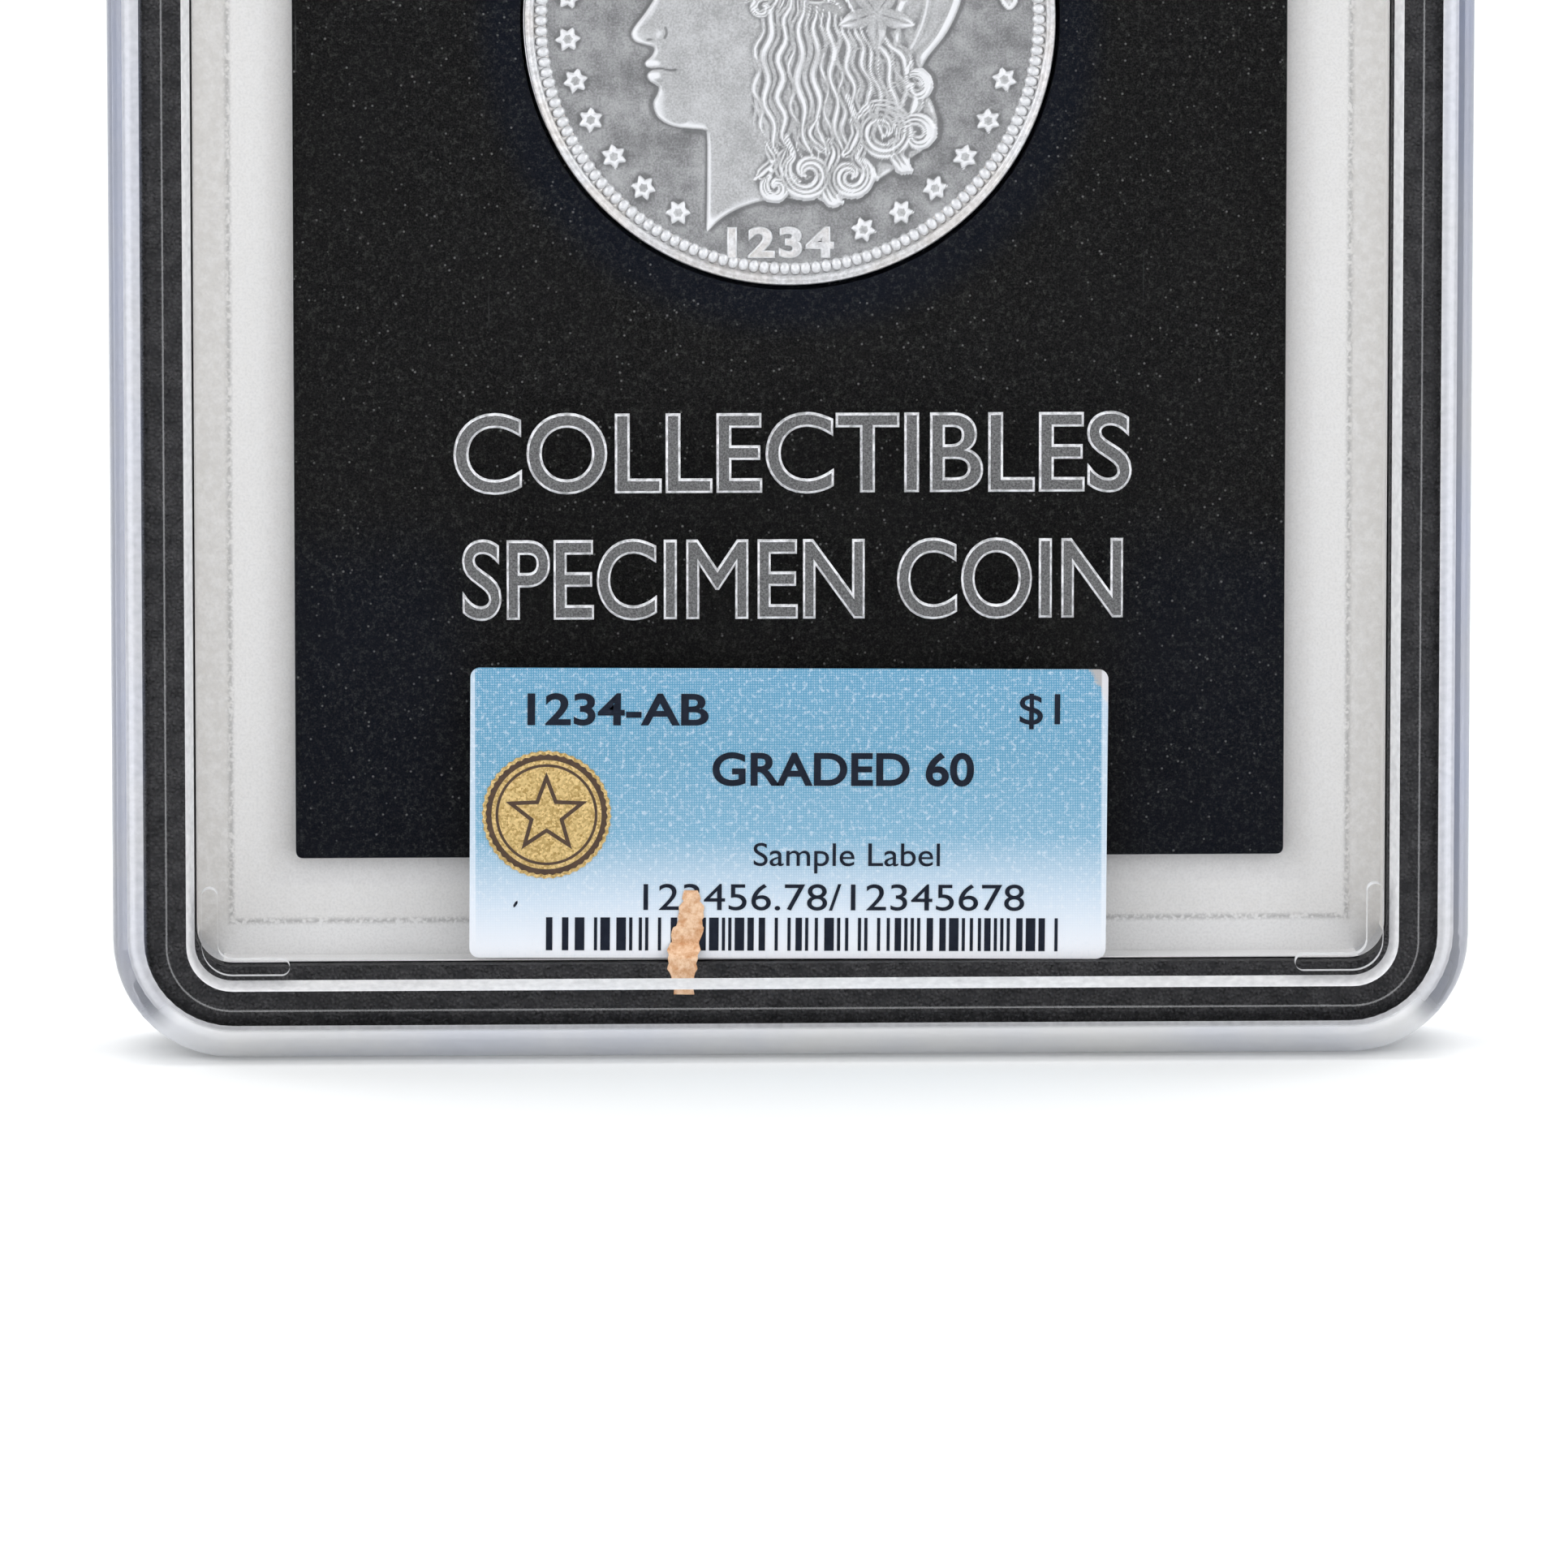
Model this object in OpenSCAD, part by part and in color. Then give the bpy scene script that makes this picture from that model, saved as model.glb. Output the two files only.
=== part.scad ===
// Oversize graded coin slab: a clear welded display case with a coin in it,
// cushioned by a foam gasket inside a larger clear welded slab.
//
// The pieces are modelled lying down: X is the width, Y the height and Z the
// depth, with the front of the slab at +Z. stand() then sets the slab upright,
// front towards -Y, on the middle of its bottom edge.

/* [Slab] */
// Width of the slab
slab_w = 97.5; // [80:0.5:120]
// Height of the slab
slab_h = 148.5; // [120:0.5:180]
// Depth of the slab, over the front rim and the back stacking ring
slab_t = 19; // [15.5:0.1:24]
// Radius of the slab's four corners
corner_r = 8.6; // [8:0.1:12]
// Radius of the rounded front edge
edge_r = 3.9; // [2:0.1:4]
// Radius of the rounded back edge
back_edge_r = 2.8; // [1:0.1:3.5]
// Thickness of the slab's side walls
wall_t = 2.2; // [1.8:0.1:3]
// Thickness of the slab's front and back windows
window_t = 2.4; // [1.6:0.1:2.8]
// Radius inside the slab, where the windows meet the walls
inner_edge_r = 1; // [0.4:0.1:1.4]

/* [Stacking] */
// Height of the front rim over the front window
rim_h = 1.4; // [0.8:0.1:2]
// Width of the flat land on top of the front rim
rim_land_w = 1.4; // [0.8:0.1:1.6]
// Width of the bevel from the rim down to the window
rim_bevel_w = 0.6; // [0.2:0.05:0.6]
// Gap between the rim's bevel and a corner lug
lug_gap = 0.5; // [0.3:0.05:0.6]
// Width of a corner lug
lug_w = 1.15; // [0.8:0.05:1.2]
// Length of a corner lug's leg, from the outside of its bend
lug_leg = 6.3; // [4:0.1:12]
// How far the lugs stay below the rim
lug_drop = 0.2; // [0.1:0.05:0.4]
// Height of the stacking ring on the back
ring_h = 1; // [0.6:0.1:1.1]
// Width of the stacking ring on the back
ring_w = 3; // [2:0.1:5]
// Radius of the stacking ring's outside corners
ring_corner_r = 1.2; // [0.6:0.1:3]
// Gap between a ring and the lugs of the slab below it
stack_clear = 0.3; // [0.1:0.05:0.6]

/* [Weld joint of the slab] */
// Width of the tongue on the front shell's wall
tongue_w = 0.8; // [0.6:0.1:1]
// Height of the tongue
tongue_h = 1; // [0.6:0.1:1.4]
// Depth of the fused bead under the tongue
bead_h = 0.3; // [0.2:0.05:0.5]
// Gap on each side of the tongue
tongue_clear = 0.1; // [0.05:0.05:0.15]

/* [Foam gasket] */
// Width of the foam beside the case
foam_w = 3.6; // [2:0.1:5]
// Width of the foam above and below the case
foam_end_w = 4.4; // [2:0.1:6]
// Gap between the foam and the plastic on each side of it
foam_clear = 0.1; // [0.05:0.05:0.2]
// Gap between the foam and the windows
foam_face_clear = 0.1; // [0.05:0.05:0.3]

/* [Inner case] */
// Room in front of the case, for the label and the raised lettering
front_room = 1.4; // [1:0.1:2]
// Gap behind the case
rear_clear = 0.1; // [0.05:0.05:0.3]
// Radius of the case's corners
case_corner_r = 2.6; // [1:0.1:4]
// Width of the frosted border round the insert
border_w = 7.1; // [5:0.1:9]
// Width of the relief channel round the insert
moat_w = 2.1; // [1:0.1:2.4]
// Depth of the relief channel, in the rear half
moat_h = 0.9; // [0.4:0.1:1]
// Distance from the case's edge to its weld line
seam_inset = 2.2; // [1.5:0.1:2.4]
// Width of the case's weld line
seam_w = 0.5; // [0.3:0.05:0.7]
// Height of the case's weld line, sunk into the rear half
seam_h = 0.4; // [0.2:0.05:0.6]

/* [Insert and coin] */
// Diameter of the coin
coin_d = 38.1; // [30:0.1:46]
// Thickness of the coin over its rims
coin_t = 2.4; // [1.8:0.1:3.2]
// Width of the coin's rim
coin_rim_w = 0.65; // [0.5:0.05:1.6]
// Depth of the coin's fields below its rims
coin_field_drop = 0.35; // [0.1:0.05:0.4]
// Gap round the coin in its seat
coin_clear = 0.3; // [0.1:0.05:0.5]
// Gap on each face of the coin
coin_face_clear = 0.15; // [0.1:0.05:0.3]
// Gap round the insert in its pocket
insert_clear = 0.15; // [0.1:0.05:0.3]
// Gap on each face of the insert
insert_face_clear = 0.05; // [0.02:0.01:0.2]
// Radius of the pocket's corners
pocket_corner_r = 0.6; // [0.4:0.1:2]

/* [Label] */
// Width of the label
label_w = 45.8; // [30:0.1:56]
// Height of the label
label_h = 21; // [14:0.1:26]
// Thickness of the label
label_t = 0.3; // [0.2:0.05:0.5]
// Radius of the label's corners
label_corner_r = 0.7; // [0.3:0.1:1.5]
// How far the label is from the case's bottom edge
label_inset = 0.1; // [0.1:0.05:2]
// How far the label lies to the left of the middle
label_offset = 0.2; // [0:0.1:2]
// How far the label is turned from level
label_tilt = -0.4; // [-1:0.05:1]
// Diameter of the foil seal
seal_d = 9.4; // [6:0.1:12]
// Thickness of the foil seal
seal_t = 0.12; // [0.1:0.01:0.2]
// Distance from the label's left edge to the middle of the seal
seal_x = 5.5; // [5.4:0.1:12]
// Distance from the label's top edge to the middle of the seal
seal_y = 10.6; // [7:0.1:12]

/* [Hidden] */
$fn = 96;

// Depths, from the front of the slab (highest Z) to its back.
rim_top_z = slab_t / 2;
window_front_z = rim_top_z - rim_h;
window_inner_z = window_front_z - window_t;
case_front_z = window_inner_z - front_room;
split_z = 0;
ring_top_z = -slab_t / 2;
back_face_z = ring_top_z + ring_h;
back_inner_z = back_face_z + window_t;
case_back_z = back_inner_z + rear_clear;
case_split_z = (case_front_z + case_back_z) / 2;

// Distances in from the slab's side, all along one concentric outline.
rim_land_in = edge_r;
rim_bevel_in = rim_land_in + rim_land_w;
window_in = rim_bevel_in + rim_bevel_w;
lug_in = window_in + lug_gap;
ring_in = lug_in + lug_w + stack_clear;
foam_in = wall_t + foam_clear;
case_in = foam_in + foam_w + foam_clear;
case_end_in = foam_in + foam_end_w + foam_clear;
tongue_in = (wall_t - tongue_w) / 2;

// Sizes of what is inside.
case_w = slab_w - 2 * case_in;
case_h = slab_h - 2 * case_end_in;
pocket_w = case_w - 2 * border_w;
pocket_h = case_h - 2 * border_w;
pocket_t = coin_t + 2 * coin_face_clear;
insert_t = pocket_t - 2 * insert_face_clear;
label_x = -label_offset;
label_y = label_inset + label_h / 2 - case_h / 2;
join = 0.01;

// A rectangle with round corners, in the middle, made of true arcs.
module rounded(w, h, r) {
    square([w - 2 * r, h], center = true);
    square([w, h - 2 * r], center = true);
    for (x = [-1, 1], y = [-1, 1])
        translate([x * (w / 2 - r), y * (h / 2 - r)])
            circle(r);
}

// The slab's outline, moved in from its side.
module outline(inset) {
    rounded(slab_w - 2 * inset, slab_h - 2 * inset, corner_r - inset);
}

// A band along the slab's outline.
module band(inset, w) {
    difference() {
        outline(inset);
        outline(inset + w);
    }
}

module slice(z0, z1) {
    translate([0, 0, z0])
        linear_extrude(z1 - z0)
            children();
}

// Sweeps a profile round the slab's corners and sides, and fills the middle
// from z0 to z1. The profile's X runs outwards from the middle of a corner's
// arc and its Y is the depth.
module sweep(z0, z1) {
    side = [slab_h - 2 * corner_r, slab_w - 2 * corner_r];
    for (k = [0:3])
        rotate([0, 0, 90 * k])
            translate([side[(k + 1) % 2] / 2, side[k % 2] / 2, 0]) {
                rotate_extrude(angle = 90)
                    children();
                rotate([90, 0, 0])
                    linear_extrude(side[k % 2])
                        children();
            }
    slice(z0, z1)
        square([side[1], side[0]], center = true);
}

// A closed block with one round edge all the way round its top.
module round_block(z0, z1, r, inset) {
    reach = corner_r - inset;
    sweep(z0, z1) {
        translate([0, z0])
            square([reach, z1 - z0 - r]);
        translate([0, z0])
            square([reach - r, z1 - z0]);
        translate([reach - r, z1 - r])
            intersection() {
                circle(r);
                square(r);
            }
    }
}

// A closed block with sloping sides: the space inside the front rim.
module bevelled_block(z0, z1, inset0, inset1) {
    sweep(z0, z1)
        polygon([
            [0, z0],
            [corner_r - inset0, z0],
            [corner_r - inset1, z1],
            [0, z1]
        ]);
}

// One L-shaped lug, following the outline, with round ends.
module corner_lug() {
    outer = corner_r - lug_in;
    straight = lug_leg - outer - lug_w / 2;
    translate([slab_w / 2 - corner_r, slab_h / 2 - corner_r]) {
        difference() {
            intersection() {
                circle(outer);
                square(outer);
            }
            circle(outer - lug_w);
        }
        for (side = [0, 1])
            mirror([side, -side])
                translate([outer - lug_w, -straight]) {
                    square([lug_w, straight]);
                    translate([lug_w / 2, 0])
                        circle(lug_w / 2);
                }
    }
}

// Front half of the slab: window, raised rim, corner lugs and weld tongue.
module outer_front_shell() {
    color([0.93, 0.95, 0.97, 0.3]) {
        difference() {
            round_block(split_z, rim_top_z, edge_r, 0);
            round_block(split_z - join, window_inner_z, inner_edge_r, wall_t);
            bevelled_block(window_front_z, rim_top_z + join, window_in, rim_bevel_in);
        }
        slice(window_front_z - join, rim_top_z - lug_drop)
            for (x = [0, 1], y = [0, 1])
                mirror([x, 0])
                    mirror([0, y])
                        corner_lug();
        slice(split_z - tongue_h, split_z + join)
            band(tongue_in, tongue_w);
    }
}

// Back half of the slab: window, stacking ring and weld groove.
module outer_rear_shell() {
    ring_size = [slab_w - 2 * ring_in, slab_h - 2 * ring_in];
    color([0.93, 0.95, 0.97, 0.3]) {
        difference() {
            mirror([0, 0, 1])
                round_block(-split_z, -back_face_z, back_edge_r, 0);
            mirror([0, 0, 1])
                round_block(-split_z - join, -back_inner_z, inner_edge_r, wall_t);
            slice(split_z - tongue_h - bead_h, split_z + join)
                band(tongue_in - tongue_clear, tongue_w + 2 * tongue_clear);
        }
        slice(ring_top_z, back_face_z + join)
            difference() {
                rounded(ring_size[0], ring_size[1], ring_corner_r);
                square([ring_size[0] - 2 * ring_w, ring_size[1] - 2 * ring_w], center = true);
            }
    }
}

// The plastic that the welding melted, between the tongue and its groove.
module shell_weld_bead() {
    color([0.85, 0.87, 0.92])
        slice(split_z - tongue_h - bead_h, split_z - tongue_h)
            band(tongue_in, tongue_w);
}

// Die-cut frame of closed-cell foam that holds the case in the slab.
module foam_gasket() {
    color([0.05, 0.05, 0.055])
        difference() {
            slice(back_inner_z + foam_face_clear, window_inner_z - foam_face_clear)
                outline(foam_in + inner_edge_r);
            slice(back_inner_z, window_inner_z)
                rounded(case_w + 2 * foam_clear, case_h + 2 * foam_clear, case_corner_r + foam_clear);
        }
}

// Front half of the inner case, with the insert's pocket behind it.
module case_front() {
    color([0.9, 0.92, 0.94, 0.3])
        difference() {
            slice(case_split_z, case_front_z)
                rounded(case_w, case_h, case_corner_r);
            slice(case_split_z - join, case_split_z + pocket_t / 2)
                rounded(pocket_w, pocket_h, pocket_corner_r);
        }
}

// Rear half of the inner case, with the pocket, its relief and the weld groove.
module case_rear() {
    color([0.88, 0.9, 0.92, 0.3])
        difference() {
            slice(case_back_z, case_split_z)
                rounded(case_w, case_h, case_corner_r);
            slice(case_split_z - pocket_t / 2, case_split_z + join)
                rounded(pocket_w, pocket_h, pocket_corner_r);
            slice(case_split_z - moat_h, case_split_z + join)
                rounded(pocket_w + 2 * moat_w, pocket_h + 2 * moat_w, pocket_corner_r + moat_w);
            slice(case_split_z - seam_h, case_split_z + join)
                seam();
        }
}

module seam() {
    w = case_w - 2 * seam_inset;
    h = case_h - 2 * seam_inset;
    difference() {
        square([w, h], center = true);
        square([w - 2 * seam_w, h - 2 * seam_w], center = true);
    }
}

// The case's fused weld line.
module case_weld_bead() {
    color([0.45, 0.46, 0.48])
        slice(case_split_z - seam_h, case_split_z)
            seam();
}

// Black plate with the coin's round seat through it.
module insert_plate() {
    color([0.03, 0.03, 0.03])
        slice(case_split_z - insert_t / 2, case_split_z + insert_t / 2)
            difference() {
                rounded(pocket_w - 2 * insert_clear, pocket_h - 2 * insert_clear, pocket_corner_r - insert_clear);
                circle(coin_d / 2 + coin_clear);
            }
}

// The coin, with the fields of both faces below its rims.
module coin() {
    field_d = coin_d - 2 * coin_rim_w;
    color([0.8, 0.8, 0.78])
        difference() {
            slice(case_split_z - coin_t / 2, case_split_z + coin_t / 2)
                circle(coin_d / 2);
            slice(case_split_z + coin_t / 2 - coin_field_drop, case_split_z + coin_t)
                circle(field_d / 2);
            slice(case_split_z - coin_t, case_split_z - coin_t / 2 + coin_field_drop)
                circle(field_d / 2);
        }
}

// Paper label, lying on the front of the case.
module grading_label() {
    color([0.75, 0.86, 0.95])
        translate([label_x, label_y, 0])
            rotate([0, 0, label_tilt])
                slice(case_front_z, case_front_z + label_t)
                    rounded(label_w, label_h, label_corner_r);
}

// Round foil seal stuck on the label.
module foil_seal() {
    color([0.75, 0.6, 0.3])
        translate([label_x, label_y, 0])
            rotate([0, 0, label_tilt])
                translate([seal_x - label_w / 2, label_h / 2 - seal_y, case_front_z + label_t])
                    cylinder(d = seal_d, h = seal_t);
}

module stand() {
    translate([0, 0, slab_h / 2])
        rotate([90, 0, 0])
            children();
}

stand() outer_front_shell();
stand() outer_rear_shell();
stand() shell_weld_bead();
stand() foam_gasket();
stand() case_front();
stand() case_rear();
stand() case_weld_bead();
stand() insert_plate();
stand() coin();
stand() grading_label();
stand() foil_seal();
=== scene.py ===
import math
import random

import bmesh
import bpy
import numpy as np
from mathutils import Matrix, Vector


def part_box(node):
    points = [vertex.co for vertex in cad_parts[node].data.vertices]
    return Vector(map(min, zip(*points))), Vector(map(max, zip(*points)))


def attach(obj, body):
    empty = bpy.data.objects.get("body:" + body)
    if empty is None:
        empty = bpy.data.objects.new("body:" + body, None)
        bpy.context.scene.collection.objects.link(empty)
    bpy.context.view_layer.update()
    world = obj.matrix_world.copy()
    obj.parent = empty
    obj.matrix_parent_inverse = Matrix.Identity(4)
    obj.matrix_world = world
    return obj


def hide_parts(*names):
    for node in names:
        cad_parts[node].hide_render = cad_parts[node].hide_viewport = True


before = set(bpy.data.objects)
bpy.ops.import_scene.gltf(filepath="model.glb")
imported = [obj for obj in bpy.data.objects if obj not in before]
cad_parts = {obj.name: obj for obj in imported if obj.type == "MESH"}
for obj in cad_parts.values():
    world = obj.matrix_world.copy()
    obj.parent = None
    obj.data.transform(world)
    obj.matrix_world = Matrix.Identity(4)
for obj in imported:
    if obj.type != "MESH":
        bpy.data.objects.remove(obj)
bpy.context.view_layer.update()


# ---- Camera --------------------------------------------------------------
# A long lens, a little above the slab and a little to its left, aimed low on
# the front, under the coin.
turn, tilt = math.radians(1.877), math.radians(8.0)
level = math.cos(tilt)
looking = Vector((math.sin(turn) * level, math.cos(turn) * level, -math.sin(tilt)))
lens = bpy.data.cameras.new("lens")
lens.lens = 318.04
lens.clip_start, lens.clip_end = 0.1, 30
camera = bpy.data.objects.new("camera", lens)
camera.location = Vector((-0.00036, 0, 0.0188)) - looking
camera.rotation_mode = "QUATERNION"
camera.rotation_quaternion = looking.to_track_quat("-Z", "Y")
bpy.context.scene.collection.objects.link(camera)
bpy.context.scene.camera = camera


# ---- Studio --------------------------------------------------------------
# A white sweep under soft boxes: one large box overhead, a little behind the
# slab so that its shadow falls forwards, and two tall ones beside it.
class Wire:
    """An output in a material. Sums on it add Math nodes."""

    def __init__(self, paint, socket):
        self.paint, self.socket = paint, socket

    def sum(self, operation, a, b=0.0, clamp=False):
        return self.paint.add("Math", {"operation": operation, "use_clamp": clamp}, {0: a, 1: b})

    def __add__(self, other):
        return self.sum("ADD", self, other)

    def __sub__(self, other):
        return self.sum("SUBTRACT", self, other)

    def __mul__(self, other):
        return self.sum("MULTIPLY", self, other)

    def __truediv__(self, other):
        return self.sum("DIVIDE", self, other)

    def __gt__(self, other):
        return self.sum("GREATER_THAN", self, other)

    def __lt__(self, other):
        return self.sum("LESS_THAN", self, other)

    def __rsub__(self, other):
        return self.sum("SUBTRACT", other, self)

    __radd__, __rmul__ = __add__, __mul__

    def size(self):
        return self.sum("ABSOLUTE", self)

    def root(self):
        return self.sum("SQRT", self)

    def either(self, other):
        return self.sum("MAXIMUM", self, other)

    def both(self, other):
        return self.sum("MINIMUM", self, other)

    def rise(self, low, high):
        """0 below low and 1 above high, with a smooth ramp between."""
        return self.paint.add(
            "MapRange",
            {"interpolation_type": "SMOOTHSTEP"},
            {"Value": self, "From Min": low, "From Max": high},
        )


class Paint:
    """A material made of nodes."""

    def __init__(self, name):
        self.material = bpy.data.materials.new(name)
        self.material.use_nodes = True
        self.tree = self.material.node_tree
        self.tree.nodes.clear()
        self.place = self.add("TexCoord", output="Object")
        place = self.add("SeparateXYZ", {}, {0: self.place}).socket.node
        self.x, self.y, self.z = (Wire(self, place.outputs[i]) for i in range(3))

    def add(self, kind, settings=None, inputs=None, output=0):
        node = self.tree.nodes.new("ShaderNode" + kind)
        for name, value in (settings or {}).items():
            if name == "stops":
                while len(node.color_ramp.elements) < len(value):
                    node.color_ramp.elements.new(0.5)
                for stop, (at, colour) in zip(node.color_ramp.elements, value):
                    stop.position, stop.color = at, (*colour, 1)
            else:
                setattr(node, name, value)
        for name, value in (inputs or {}).items():
            if isinstance(value, Wire):
                self.tree.links.new(value.socket, node.inputs[name])
            elif isinstance(value, tuple) and node.inputs[name].type == "RGBA":
                node.inputs[name].default_value = (*value, 1)[:4]
            else:
                node.inputs[name].default_value = value
        return Wire(self, node.outputs[output]) if len(node.outputs) else None

    def noise(self, scale, detail=3.0, place=None, roughness=0.5):
        return self.add(
            "TexNoise",
            {},
            {"Vector": place or self.place, "Scale": scale, "Detail": detail, "Roughness": roughness},
        )

    def blend(self, mask, low, high):
        """A colour that goes from low to high."""
        mix = self.add("Mix", {"data_type": "RGBA"}, {"Factor": mask})
        for socket, value in ((6, low), (7, high)):
            if isinstance(value, Wire):
                self.tree.links.new(value.socket, mix.socket.node.inputs[socket])
            else:
                mix.socket.node.inputs[socket].default_value = (*value, 1)
        return Wire(self, mix.socket.node.outputs[2])

    def bump(self, height, distance, strength=1.0):
        return self.add("Bump", {}, {"Height": height, "Distance": distance, "Strength": strength}, "Normal")

    def either(self, mask, low, high):
        """A surface that goes from low to high."""
        return self.add("MixShader", {}, {0: mask, 1: low, 2: high})

    def glass(self, colour, roughness=0.0, normal=None):
        """Clear plastic that bends light, mirrors at its edges and lets lamps through."""
        shine = {"Normal": normal} if normal else {}
        fresnel = self.add("Fresnel", {}, {"IOR": 1.5, **shine})
        bends = self.add("BsdfRefraction", {}, {"Color": colour, "Roughness": roughness, "IOR": 1.5, **shine})
        mirrors = self.add("BsdfAnisotropic", {}, {"Color": (0.95, 0.96, 0.98), "Roughness": 0.03, **shine})
        body = self.either(fresnel.sum("SUBTRACT", fresnel, 0.041, True) * 1.04, bends, mirrors)
        lamp_ray = self.add("LightPath", output="Is Shadow Ray")
        bounced = Wire(self, lamp_ray.socket.node.outputs["Is Diffuse Ray"])
        open_air = self.add("BsdfTransparent", {}, {"Color": (0.97, 0.975, 0.98)})
        return self.either(lamp_ray.either(bounced), body, open_air)

    def solid(self, **inputs):
        names = {key.replace("_", " "): value for key, value in inputs.items()}
        return self.add("BsdfPrincipled", {}, names)

    def finish(self, shader):
        self.add("OutputMaterial", {}, {"Surface": shader})
        return self.material


def piece(name, shape, *materials, body=None):
    """A new object of the shape, which rides with a body of the slab."""
    mesh = bpy.data.meshes.new(name)
    shape.to_mesh(mesh)
    shape.free()
    made = bpy.data.objects.new(name, mesh)
    bpy.context.scene.collection.objects.link(made)
    for material in materials:
        mesh.materials.append(material)
    if body:
        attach(made, body)
    return made


floor_shape = bmesh.new()
bmesh.ops.create_grid(floor_shape, x_segments=1, y_segments=1, size=8)
bmesh.ops.translate(floor_shape, verts=floor_shape.verts, vec=(0, 0, -0.0001))
paint = Paint("white_sweep")
matt_white = paint.finish(paint.solid(Base_Color=(0.82, 0.83, 0.835), Roughness=0.9, Specular_IOR_Level=0.0))
piece("floor", floor_shape, matt_white)

sky = bpy.data.worlds.new("studio")
sky.use_nodes = True
sky.node_tree.nodes["Background"].inputs["Color"].default_value = (1.0, 1.0, 1.0, 1)
sky.node_tree.nodes["Background"].inputs["Strength"].default_value = 0.85
bpy.context.scene.world = sky
for name, place, aim, wide, high, power in (
    ("overhead_box", (0.0, 0.2, 1.3), (0, 0, 0), 1.1, 0.8, 15.5),
    ("left_box", (-1.1, -0.6, 0.5), (0, 0, 0.07), 0.7, 1.0, 5),
    ("right_box", (1.1, -0.6, 0.5), (0, 0, 0.07), 0.7, 1.0, 5),
):
    box_light = bpy.data.lights.new(name, "AREA")
    box_light.shape = "RECTANGLE"
    box_light.size, box_light.size_y, box_light.energy = wide, high, power
    lamp = bpy.data.objects.new(name, box_light)
    lamp.location = place
    lamp.rotation_mode = "QUATERNION"
    lamp.rotation_quaternion = (Vector(aim) - Vector(place)).to_track_quat("-Z", "Y")
    bpy.context.scene.collection.objects.link(lamp)
bpy.context.scene.view_settings.view_transform = "Standard"
cycles = bpy.context.scene.cycles
cycles.caustics_reflective = cycles.caustics_refractive = False
cycles.max_bounces, cycles.diffuse_bounces, cycles.glossy_bounces = 10, 2, 4
cycles.transmission_bounces, cycles.transparent_max_bounces = 10, 12


# ---- Outer shells --------------------------------------------------------
# Two clear polystyrene mouldings, front and back, with rounded edges, a
# raised stacking rim and four corner lugs. They are welded together round
# their walls. Handling has left faint hairlines on the faces.
MM = 0.001
SLAB_HALF_W, SLAB_HALF_H, SLAB_MIDDLE_Z = 48.75 * MM, 74.25 * MM, 74.25 * MM
CORNER_R = 8.6 * MM
WALL = 2.2 * MM  # the walls' thickness
LAND = 3.9 * MM  # how far in the rim's flat land starts, behind its rounded edge


def clear_plastic(name, colour, hairlines):
    paint = Paint(name)
    waves = paint.bump(paint.noise(40.0, 2.0), 0.00002, hairlines)
    past_side = (paint.x.size() - (SLAB_HALF_W - CORNER_R)).either(0.0)
    past_end = ((paint.z - SLAB_MIDDLE_Z).size() - (SLAB_HALF_H - CORNER_R)).either(0.0)
    from_corner = past_side * past_side + past_end * past_end
    inset = CORNER_R - from_corner.root()
    streaks = paint.noise(60.0, 5.0, roughness=0.6)
    end = (past_end - past_side).rise(-0.002, 0.002)
    # The walls' milky colour carries painted light and shade: darker and bluer at the sides as painted shade,
    # and near white at the top and bottom as painted light, where the haze is also thicker.
    side_tone_painted_shade = paint.blend(streaks.rise(0.3, 0.7), (0.26, 0.30, 0.44), (0.36, 0.36, 0.37))
    end_tone_painted_light = paint.blend(streaks.rise(0.3, 0.7), (0.88, 0.91, 1.0), (0.98, 0.98, 0.98))
    # A painted light grey highlight along the edge of the rim's flat land.
    land_edge_highlight = (1 - (inset - LAND).size().rise(0.00003, 0.00009)) * (paint.y < -9 * MM)
    tone = paint.blend(land_edge_highlight, paint.blend(end, side_tone_painted_shade, end_tone_painted_light), (0.8, 0.8, 0.81))
    milky = paint.solid(Base_Color=tone, Roughness=0.3)
    haze = (1 - inset.rise(WALL, WALL + 0.4 * MM)) * (0.22 + 0.14 * streaks + 0.3 * end)
    haze = haze.either(land_edge_highlight * 0.22)
    return paint.finish(paint.either(haze, paint.glass(colour, 0.0, waves), milky))


def smooth_copy(node, parting=None, angle=28):
    """The CAD node's shape with its triangles joined and its curves shaded smooth.
    Its parting face is drawn back a hair, so that it doesn't lie in its neighbour's."""
    shape = bmesh.new()
    shape.from_mesh(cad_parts[node].data)
    bmesh.ops.remove_doubles(shape, verts=shape.verts, dist=0.000004)
    if parting is not None:
        flat = [v for v in shape.verts if abs(v.co.y - parting) < 1e-6]
        bmesh.ops.translate(shape, verts=flat, vec=(0, 0.02 * MM, 0))
    for face in shape.faces:
        face.smooth = True
    for edge in shape.edges:
        edge.smooth = len(edge.link_faces) == 2 and edge.calc_face_angle(0) < math.radians(angle)
    return shape


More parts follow.
